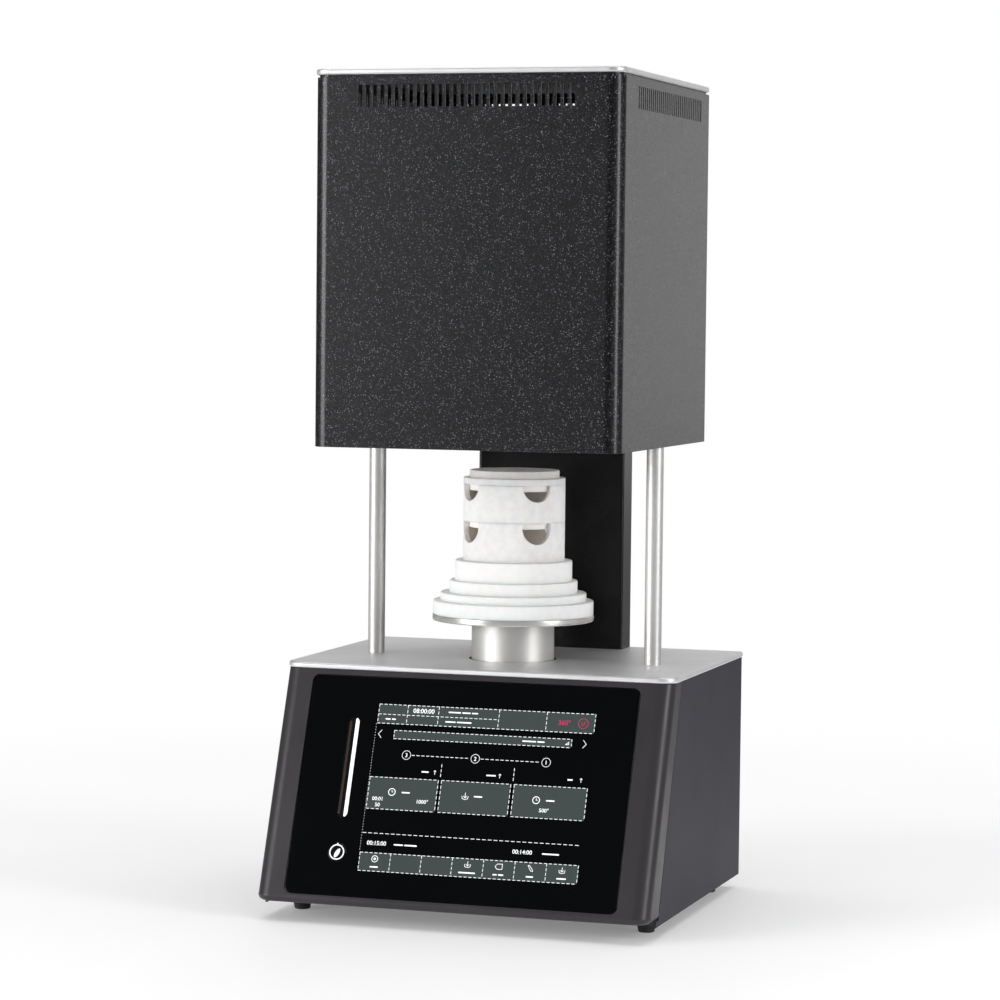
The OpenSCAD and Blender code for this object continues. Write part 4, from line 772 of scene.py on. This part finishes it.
class Screen:
    """Flat shapes on the display, placed by shares of its width and of its height downward."""

    THICK = 0.02 * MM

    def __init__(self, level):
        self.bm = bmesh.new()
        self.low = level * self.THICK
        self.high = self.low + self.THICK

    def at(self, u, v):
        return SCREEN_X + (u - 0.5) * SCREEN_W, SCREEN_TOP - v * SCREEN_H

    def shape(self, loop):
        rings = [[self.bm.verts.new((x, y, z)) for x, y in loop] for z in (self.low, self.high)]
        bridge(self.bm, rings)
        self.bm.faces.new(rings[0][::-1])
        self.bm.faces.new(rings[1])

    def tile(self, u0, v0, u1, v1):
        (x0, y1), (x1, y0) = self.at(u0, v0), self.at(u1, v1)
        self.shape([(x0, y0), (x1, y0), (x1, y1), (x0, y1)])

    def stroke(self, points, width=0.5 * MM):
        """Line through points in metres."""
        for a, b in zip(points, points[1:]):
            a, b = Vector(a), Vector(b)
            along = (b - a).normalized() * width / 2
            side = Vector((-along.y, along.x))
            a, b = a - along * 0.5, b + along * 0.5
            self.shape([tuple(p) for p in (a - side, b - side, b + side, a + side)])

    def dashes(self, u0, v0, u1, v1, width=0.5 * MM, dash=2.7 * MM, gap=1.9 * MM):
        a, b = Vector(self.at(u0, v0)), Vector(self.at(u1, v1))
        count = max(1, round((b - a).length / (dash + gap)))
        for i in range(count):
            start = a.lerp(b, i / count)
            end = a.lerp(b, (i + dash / (dash + gap)) / count)
            self.stroke([start, end], width)

    def frame(self, u0, v0, u1, v1):
        for a, b, c, d in ((u0, v0, u1, v0), (u0, v1, u1, v1), (u0, v0, u0, v1), (u1, v0, u1, v1)):
            self.dashes(a, b, c, d)

    def ring(self, u, v, r, width):
        self.stroke(arc(*self.at(u, v), r, 0, 360, 20), width)

    def marks(self, u, v, *lines):
        """Strokes given in mm about the point."""
        x, y = self.at(u, v)
        for line in lines:
            self.stroke([(x + a * MM, y + b * MM) for a, b in line])

    def words(self, u, v, *lengths):
        """Short rounded bars in a row, in place of lettering."""
        x, y = self.at(u, v)
        half = WORD_H / 2
        for length in lengths:
            self.shape(rounded_box(x, x + length * MM, y - half, y + half, WORD_H / 2.2, steps=3))
            x += (length + WORD_GAP) * MM

    def digits(self, u, v, text, size):
        curve = bpy.data.curves.new("digits", "FONT")
        curve.body = text
        curve.size = size
        curve.align_x = "CENTER"
        curve.align_y = "CENTER"
        curve.extrude = self.THICK / 2
        curve.offset = size * 0.012
        curve.resolution_u = 4
        obj = new_object("digits", curve)
        bpy.context.view_layer.update()
        mesh = bpy.data.meshes.new_from_object(obj.evaluated_get(bpy.context.evaluated_depsgraph_get()))
        x, y = self.at(u, v)
        mesh.transform(Matrix.Translation((x, y, (self.low + self.high) / 2)))
        self.bm.from_mesh(mesh)
        bpy.data.objects.remove(obj)
        bpy.data.meshes.remove(mesh)

    def finish(self, name, slot, material):
        self.bm.transform(ON_FRONT)
        mesh = bpy.data.meshes.new(name)
        self.bm.to_mesh(mesh)
        self.bm.free()
        piece(new_object(name, mesh), "root", slot, material)


# Layout of the display in shares of its width and of its height downward, with lengths in mm

WORD_GAP = 1.2
WORD_H = 1.3 * MM
TOP_BAR = (0, 0, 1, 0.115)
PROGRESS = (0.085, 0.155, 0.905, 0.205)
FOOT_BAR = (0, 0.892, 1, 1)
PANES = [(u0, 0.44, u1, 0.63) for u0, u1 in ((0.0, 0.318), (0.333, 0.652), (0.668, 1.0))]
PANE_MARK_V = 0.525
AREAS = (TOP_BAR, PROGRESS, FOOT_BAR, *PANES)
DIVIDERS = (0.135, 0.28, 0.56, 0.78)
PANE_DIVIDERS = (0.325, 0.66)
CELLS = 7
STOPS = ((0.155, "3"), (0.475, "2"), (0.80, "1"))
STOP_V = 0.30
DIGITS = (
    (0.21, 0.032, "08:00:00", 6.0),
    (0.048, 0.570, "00:01", 4.9),
    (0.05, 0.606, "50", 4.9),
    (0.255, 0.575, "1000°", 4.9),
    (0.815, 0.585, "500°", 4.9),
    (0.07, 0.835, "00:15:00", 5.4),
    (0.74, 0.835, "00:14:00", 5.4),
)
WORDS = (
    (0.035, 0.088, 5, 4),
    (0.325, 0.03, 12, 8, 6),
    (0.315, 0.088, 10, 14),
    (0.68, 0.18, 13, 7),
    (0.235, 0.395, 7),
    (0.535, 0.395, 9),
    (0.905, 0.395, 5),
    (0.155, PANE_MARK_V, 8),
    (0.82, PANE_MARK_V, 8),
    (0.49, PANE_MARK_V, 8),
    (0.15, 0.837, 9, 12),
    (0.83, 0.837, 16),
)
FOOT_WORDS = ((0.5, 8), (3.5, 16), (4.5, 4, 5), (5.5, 7), (6.5, 9))

# Icons as strokes about their middle, in mm
BACK = [[(1.6, 3.6), (-1.4, 0), (1.6, -3.6)]]
FORWARD = [[(-1.6, 3.6), (1.4, 0), (-1.6, -3.6)]]
SLOPE_ICON = [[(-1.5, -1.2), (1.5, -1.2), (1.5, 1.2)], [(-1.5, -1.2), (1.5, 1.2)]]
UP = [[(0, -1.8), (0, 1.8)], [(-1.0, 0.8), (0, 1.8), (1.0, 0.8)]]
HANDS = [[(0, 1.7), (0, 0), (1.3, 0)]]
LOAD = [[(0, 3), (0, -1.6)], [(-1.6, 0), (0, -1.6), (1.6, 0)],
        [(-3, 0), (-2.6, -2.4), (0, -3.2), (2.6, -2.4), (3, 0)]]
SMALL_LOAD = [[(0, 2.8), (0, -1.2)], [(-1.4, 0.2), (0, -1.2), (1.4, 0.2)],
              [(-2.8, 0.4), (-2.4, -2), (0, -2.6), (2.4, -2), (2.8, 0.4)]]
TAG = [[(-3.6, 0), (-1.6, 2.4), (3.2, 2.4), (3.2, -2.4), (-1.6, -2.4), (-3.6, 0)]]
PEN = [[(-2.4, 2.6), (0.6, -2.2), (2.4, -2.4), (1.8, -0.6), (-1.2, 3.0), (-2.4, 2.6)]]
PAUSE = [[(-1.2, -2.2), (-1.2, 1.6)], [(0.2, -2.2), (1.8, 1.8)]]


def screen_lines():
    """Broken lines round and between the bars and panes."""
    lines = Screen(1)
    for area in AREAS:
        lines.frame(*area)
    for u in DIVIDERS:
        lines.dashes(u, 0, u, TOP_BAR[3])
    lines.dashes(0, 0.06, 0.56, 0.06)
    for i in range(1, CELLS):
        lines.dashes(i / CELLS, FOOT_BAR[1], i / CELLS, 1)
    for u in PANE_DIVIDERS:
        lines.dashes(u, 0.345, u, 0.43)
    lines.dashes(0.0, 0.775, 1.0, 0.775, dash=3.2 * MM, gap=2.2 * MM)
    lines.dashes(-0.004, 0.12, -0.004, 0.89, width=0.3 * MM, dash=0.7 * MM, gap=1.9 * MM)
    for (a, _), (b, _) in zip(STOPS, STOPS[1:]):
        lines.dashes(a + 0.025, STOP_V, b - 0.025, STOP_V)
    return lines


def screen_picture():
    """A furnace program on the display: bars, tiles, icons and digits."""
    tiles = Screen(0)
    for area in AREAS:
        tiles.tile(*area)
    tiles.finish("screen_tiles", "display", TILES)

    lines = screen_lines()
    for u, digit in STOPS:
        lines.ring(u, STOP_V, 4.1 * MM, 0.4 * MM)
        lines.digits(u, STOP_V + 0.002, digit, 5.2 * MM)
    for u, v, text, size in DIGITS:
        lines.digits(u, v, text, size * MM)
    for u, v, *lengths in WORDS:
        lines.words(u, v, *lengths)
    for u, v, icon in ((0.018, 0.18, BACK), (0.965, 0.18, FORWARD), (0.885, 0.18, SLOPE_ICON),
                       (0.297, 0.395, UP), (0.597, 0.395, UP), (0.967, 0.395, UP),
                       (0.11, PANE_MARK_V, HANDS), (0.775, PANE_MARK_V, HANDS), (0.45, PANE_MARK_V, LOAD)):
        lines.marks(u, v, *icon)
    for u in (0.11, 0.775):
        lines.ring(u, PANE_MARK_V, 3.2 * MM, 0.7 * MM)

    icon_v, word_v = FOOT_BAR[1] + 0.035, 0.975
    for r, width in ((2.9 * MM, 0.6 * MM), (0.7 * MM, 0.9 * MM)):
        lines.ring(0.5 / CELLS, icon_v, r, width)
    for cell, icon in ((3.5, SMALL_LOAD), (4.5, TAG), (5.5, PEN), (6.5, SMALL_LOAD)):
        lines.marks(cell / CELLS, icon_v, *icon)
    for cell, *lengths in FOOT_WORDS:
        total = (sum(lengths) + WORD_GAP * (len(lengths) - 1)) * MM / SCREEN_W
        lines.words(cell / CELLS - total / 2, word_v, *lengths)
    lines.finish("screen_marks", "display", MARKS)

    accent = Screen(1)
    accent.digits(0.862, 0.06, "360°", 6.2 * MM)
    accent.ring(0.948, 0.058, 4.6 * MM, 0.5 * MM)
    accent.marks(0.948, 0.058, *PAUSE)
    accent.finish("screen_accent", "display", ACCENT)


# Lift, plug and trays

def turned_piece(name, node, body, slot, material, corners, steps=128):
    """Replaces a node with a solid of revolution about the lift's axis."""
    obj = mesh_object(name, lambda bm: add_turned(bm, eased(corners), steps), AT_LIFT)
    piece(obj, body, slot, material, node)


def disc_corners(node, under, top):
    """Profile of a node's disc with eased edges."""
    low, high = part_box(node)
    return [(0, low.z, 0), (high.x, low.z, under), (high.x, high.z, top), (0, high.z, 0)]


def lift_parts():
    turned_piece("lift_disc", "lift_plate", "lift", "lift_plate", POLISHED,
                 disc_corners("lift_plate", 1.2 * MM, 1.2 * MM), 160)
    for i in range(1, 5):
        node = f"plug_tier_{i}"
        turned_piece(f"plug_step_{i}", node, "lift", "plug_ceramic", PLUG,
                     disc_corners(node, 0.4 * MM, 1.4 * MM))


def notch_cutters(bm, rim, deep):
    """Notches open at the rim: straight sides over a half round."""
    r = NOTCH_W / 2
    outline = arc(0, rim - deep + r, r, 180, 360, 24) + [(r, rim + deep), (-r, rim + deep)]
    for turn in NOTCH_TURNS:
        notch = bmesh.new()
        add_slab(notch, [outline], TRAY_R - 3 * TRAY_WALL, TRAY_R + TRAY_WALL, 0.001 * MM, 1)
        notch.transform(Matrix.Rotation(math.radians(turn), 4, "Z") @ ALONG_X)
        mesh = bpy.data.meshes.new("notch")
        notch.to_mesh(mesh)
        notch.free()
        bm.from_mesh(mesh)
        bpy.data.meshes.remove(mesh)


def spigot_corners(face, end):
    """Profile of an underside with a ring that reaches down into the cup below."""
    bore = SPIGOT_R - SPIGOT_WALL
    return [(0, face, 0), (bore, face, 0.3 * MM), (bore, end, 0.4 * MM), (SPIGOT_R, end, 0.4 * MM),
            (SPIGOT_R, face, 0.2 * MM)]


def tray(name, node, body, low, high, spigot, notch):
    """Open cup with four notches; spigot is how far its foot reaches into the one below."""
    inner = TRAY_R - TRAY_WALL
    corners = spigot_corners(low, low - spigot) if spigot else [(0, low, 0)]
    corners += [(TRAY_R, low, 0.4 * MM), (TRAY_R, high, TRAY_EASE), (inner, high, TRAY_EASE),
                (inner, low + TRAY_FLOOR, 1.5 * MM), (0, low + TRAY_FLOOR, 0)]
    obj = mesh_object(name, lambda bm: add_turned(bm, eased(corners), 128), AT_LIFT)
    cut(obj, lambda bm: notch_cutters(bm, high, notch), AT_LIFT)
    soften(obj, 0.4 * MM, 2, 50)
    piece(obj, body, "tray_ceramic", TRAY, node, smooth=40)


def trays():
    low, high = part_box("tray_lower")
    tray("tray_lower_cup", "tray_lower", "lower_tray", low.z, high.z, 0, LOWER_NOTCH)
    floor = high.z
    low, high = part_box("tray_upper")
    tray("tray_upper_cup", "tray_upper", "upper_tray", floor, high.z, floor - low.z, UPPER_NOTCH)
    flange = high.z
    low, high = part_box("tray_lid")
    corners = spigot_corners(flange, low.z)
    corners += [(TRAY_R, flange, 0.4 * MM), (TRAY_R, flange + LID_FLANGE, 1.0 * MM),
                (SPIGOT_R, flange + LID_FLANGE, 0.5 * MM), (SPIGOT_R, high.z, 1.0 * MM), (0, high.z, 0)]
    turned_piece("tray_lid_cap", "tray_lid", "lid", "tray_ceramic", TRAY, corners)


# Feet, screws and the fittings at the back

def foot_places():
    low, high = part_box("feet")
    return [(s * (high.x - FOOT_R), y) for s in (-1, 1) for y in (low.y + FOOT_R, high.y - FOOT_R)]


def feet():
    """Rubber feet that taper downward, each round the hole of its screw."""
    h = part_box("feet")[1].z
    bore, counterbore, tread = 2.7 * MM, 5 * MM, FOOT_R - 1.7 * MM
    corners = [(bore, 0.33 * h, 0), (counterbore, 0.33 * h, 0), (counterbore, 0, 0.3 * MM),
               (tread, 0, 0.9 * MM), (FOOT_R - 0.7 * MM, 0.5 * h, 0), (FOOT_R, h, 0.5 * MM), (bore, h, 0)]

    def build(bm):
        for x, y in foot_places():
            add_turned(bm, eased(corners), 64, Matrix.Translation((x, y, 0)), closed=True)

    piece(mesh_object("rubber_feet", build), "root", "foot_rubber", RUBBER, "feet")


def screw_head(bm, r, h, place):
    """Pan head with a hexagon socket."""
    socket = 1.35 * MM
    corners = [(0, 0, 0), (r, 0, 0), (r, h, 0.7 * MM), (socket, h, 0.05 * MM), (socket, 0.35 * h, 0),
               (0, 0.35 * h, 0)]
    add_turned(bm, eased(corners), 48, place, sides=(6, socket * 1.03))


def screws():
    """Screws of the rear panels, and those of the feet with their shanks."""
    foot_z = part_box("feet")[1].z
    shank_r, shank_end = 2.4 * MM, foot_z + 6 * MM
    shank = [(0, foot_z / 3, 0), (shank_r, foot_z / 3, 0), (shank_r, shank_end, 0.4 * MM), (0, shank_end, 0)]
    underside = Matrix.Translation((0, 0, foot_z / 3)) @ Matrix.Rotation(math.pi, 4, "X")

    def build(bm):
        for panel, half in (("head_rear_panel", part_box("head_casing")[1].x), ("base_rear_panel", BASE_HALF)):
            low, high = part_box(panel)
            for x in (SCREW_INSET - half, half - SCREW_INSET):
                for z in (low.z + SCREW_INSET, (low.z + high.z) / 2, high.z - SCREW_INSET):
                    screw_head(bm, 3.5 * MM, 1.4 * MM, Matrix.Translation((x, high.y, z)) @ TO_REAR)
        for x, y in foot_places():
            at = Matrix.Translation((x, y, 0))
            screw_head(bm, 4.4 * MM, 2.4 * MM, at @ underside)
            add_turned(bm, eased(shank), 32, at)

    piece(mesh_object("screw_heads", build), "root", "screw_steel", BLACK_STEEL, "screws")


def fan_guard():
    """Rings on crossed wires that end in eyes."""
    low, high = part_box("fan_guard")
    wire = (high.y - low.y) / 2
    centre = Vector(((low.x + high.x) / 2, low.y + wire, (low.z + high.z) / 2))
    eye_hole, eye_r = 1.7 * MM, 3 * MM
    reach = (high.x - low.x) / 2 / math.cos(math.pi / 4) - eye_r
    eye = [(eye_hole, -wire, 0), (eye_r, -wire, 0.3 * MM), (eye_r, wire, 0.3 * MM), (eye_hole, wire, 0)]

    def out(degrees):
        return Vector((math.cos(math.radians(degrees)), 0, math.sin(math.radians(degrees))))

    def build(bm):
        for r in (10 * MM, 18 * MM, 26 * MM, 34 * MM):
            circle = [centre + out(360 * k / 64) * r for k in range(64)]
            add_tube(bm, circle, wire * 0.95, 10, closed=True)
        for k in range(4):
            direction = out(45 + 90 * k)
            spoke = [centre + direction * t for t in (8 * MM, 20 * MM, 34 * MM, 47 * MM)]
            add_tube(bm, spoke, wire * 0.9, 10)
            place = Matrix.Translation(centre + direction * reach) @ TO_REAR
            add_turned(bm, eased(eye), 24, place, closed=True)

    piece(mesh_object("fan_grille", build), "root", "wire", PLATED, "fan_guard")


def fan_impeller():
    """Hub with swept, twisted blades."""
    low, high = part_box("fan_impeller")
    frame_low, frame_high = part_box("fan_frame")
    cx, cz = (frame_low.x + frame_high.x) / 2, (frame_low.z + frame_high.z) / 2
    hub, tip, bore, roof = 16 * MM, (high.z - low.z) / 2, 3.1 * MM, 2 * MM
    root_r = hub - 1 * MM
    thick, margin = 1.2 * MM, 2 * MM
    blades, spans, strips = 7, 6, 4
    corners = [(bore, low.y, 0), (hub, low.y, 0.4 * MM), (hub, high.y, 2 * MM), (0, high.y, 0),
               (0, high.y - roof, 0), (bore, high.y - roof, 0)]

    def blade_face(bm, turn, side):
        """Rows of vertices of one blade's face, from its root to its tip."""
        rows = []
        for k in range(spans + 1):
            share = k / spans
            r = root_r + (tip - root_r) * share
            row = []
            for j in range(strips + 1):
                across = j / strips
                chord = math.radians(30 + 8 * share) * (across - 0.5)
                y = low.y + margin + (high.y - low.y - 2 * margin) * across
                bow = 0.5 * thick * side * math.sin(math.pi * (0.12 + 0.76 * across))
                a = turn + math.radians(22 * share) + chord + bow / r
                row.append(bm.verts.new((cx + r * math.cos(a), y, cz + r * math.sin(a))))
            rows.append(row)
        return rows

    def build(bm):
        add_turned(bm, eased(corners), 64, Matrix.Translation((cx, 0, cz)) @ TO_REAR, closed=True)
        for i in range(blades):
            faces = [blade_face(bm, 2 * math.pi * i / blades, side) for side in (-1, 1)]
            bridge(bm, faces[0], closed=False)
            bridge(bm, [row[::-1] for row in faces[1]], closed=False)
            bridge(bm, [rows[-1] + [row[-1] for row in rows[-2::-1]] + rows[0][-2::-1]
                        + [row[0] for row in rows[1:-1]] for rows in faces])

    piece(mesh_object("fan_rotor_blades", build), "fan_rotor", "moulding", MOULDED, "fan_impeller", smooth=40)


top_plates()
front_shell()
side_panels()
head_casing()
front_glass()
status_light()
power_key()
screen_picture()
lift_parts()
trays()
feet()
screws()
fan_guard()
fan_impeller()


# Camera, light and floor

CAMERA_AT = Vector((0.96276, -3.04030, 0.56748))
CAMERA_YAW = math.radians(17.71)
CAMERA_PITCH = math.radians(3.36)
CAMERA_ROLL = math.radians(0.60)
CAMERA_LENS = 122.6

# Strength of the white world as a light
WORLD_LEVEL = 0.42

# The world in reflections: soft round patches, each with its direction, the cosines where it starts
# and is full, and the levels outside and inside it
ROOM = [
    ((0, 1, 0), 0.80, 0.93, 0.08, 0.80),
    ((0, 0.25, 1), 0.84, 0.97, 0.0, 0.5),
]
AIM = Vector((0, 0, 0.4))
LAMPS = [
    ("key_left", (-2.3, -2.35, 0.8), (1.7, 1.3), 66),
    ("fill_right", (2.9, -0.78, 1.0), (0.9, 1.6), 38),
    ("overhead", (0, 0.3, 3.4), (3.8, 3.8), 58),
]

FLOOR_HALF = 4.0
FLOOR_FRONT = -2.4
FLOOR_BACK = 7.0
FLOOR_Z_OFFSET = -0.5 * MM
FADE_START = 0.45
FADE_END = 1.5
FLOOR_LIFT = 0.20
FLOOR_GLOW = 0.3


def camera():
    """The photograph's viewpoint."""
    a, e, r = CAMERA_YAW, CAMERA_PITCH, CAMERA_ROLL
    back = Vector((math.sin(a) * math.cos(e), -math.cos(a) * math.cos(e), math.sin(e)))
    right = Vector((math.cos(a), math.sin(a), 0))
    up = back.cross(right)
    rolled_right = right * math.cos(r) + up * math.sin(r)
    rolled_up = up * math.cos(r) - right * math.sin(r)
    data = bpy.data.cameras.new("camera")
    data.lens = CAMERA_LENS
    data.sensor_width = 36
    data.clip_start = 0.05
    data.clip_end = 50
    obj = new_object("camera", data)
    turn = Matrix((rolled_right, rolled_up, back)).transposed().to_4x4()
    obj.matrix_world = Matrix.Translation(CAMERA_AT) @ turn
    bpy.context.scene.camera = obj


def studio():
    """White to the camera. In reflections: white behind, pale above, and a dark room in front."""
    world = bpy.data.worlds.new("studio")
    world.use_nodes = True
    world.node_tree.nodes.clear()
    n = Nodes(world.node_tree)
    looking = n.add("ShaderNodeTexCoord").outputs["Generated"]
    seen, shown = n.rays()
    for toward, start, full, dim, bright in ROOM:
        facing = n.add("ShaderNodeVectorMath", {0: looking, 1: Vector(toward).normalized()},
                       operation="DOT_PRODUCT").outputs["Value"]
        seen = n.maths("MAXIMUM", seen, n.spread(facing, start, full, dim, bright))
    level = n.add("ShaderNodeMix", {0: shown, 2: WORLD_LEVEL, 3: seen}, data_type="FLOAT")
    light = n.add("ShaderNodeBackground", {"Color": (1, 1, 1, 1), "Strength": level.outputs[0]})
    n.add("ShaderNodeOutputWorld", {0: light.outputs[0]})
    bpy.context.scene.world = world


def lamps():
    for name, at, size, power in LAMPS:
        data = bpy.data.lights.new(name, "AREA")
        data.shape = "RECTANGLE"
        data.size, data.size_y = size
        data.energy = power
        obj = new_object(name, data)
        obj.location = at
        obj.rotation_mode = "QUATERNION"
        obj.rotation_quaternion = (AIM - Vector(at)).to_track_quat("-Z", "Y")


def floor():
    """Pale floor that fades to the white background away from the object and keeps its shadow."""
    mesh = bpy.data.meshes.new("floor")
    corners = [(-FLOOR_HALF, FLOOR_FRONT, 0), (FLOOR_HALF, FLOOR_FRONT, 0), (FLOOR_HALF, FLOOR_BACK, 0),
               (-FLOOR_HALF, FLOOR_BACK, 0)]
    mesh.from_pydata(corners, [], [(0, 1, 2, 3)])
    obj = new_object("floor", mesh)
    obj.location.z = FLOOR_Z_OFFSET
    s = Surface("floor", 0.6)
    s.colour(s.mix(s.spread(s.noise(3, 3.0), 0.3, 0.7), (0.85, 0.85, 0.85), (0.88, 0.88, 0.88)))
    s.bump(s.noise(900, 2.0), 0.02 * MM, 0.3)
    seen, shown = s.rays()
    distance = s.add("ShaderNodeVectorMath", {0: s.coords}, operation="LENGTH").outputs["Value"]
    away = s.maths("MULTIPLY", s.spread(distance, FADE_START, FADE_END), shown)
    white = s.add("ShaderNodeEmission", {"Strength": s.maths("MAXIMUM", seen, FLOOR_GLOW)})
    lift = s.add("ShaderNodeEmission", {"Strength": s.maths("MULTIPLY", shown, FLOOR_LIFT)})
    lifted = s.add("ShaderNodeAddShader", {0: s.shader.outputs[0], 1: lift.outputs[0]})
    blend = s.add("ShaderNodeMixShader", {0: away, 1: lifted.outputs[0], 2: white.outputs[0]})
    s.put(s.tree.nodes["Material Output"].inputs["Surface"], blend.outputs[0])
    mesh.materials.append(s.material)


camera()
studio()
lamps()
floor()
bpy.context.scene.view_settings.view_transform = "Standard"
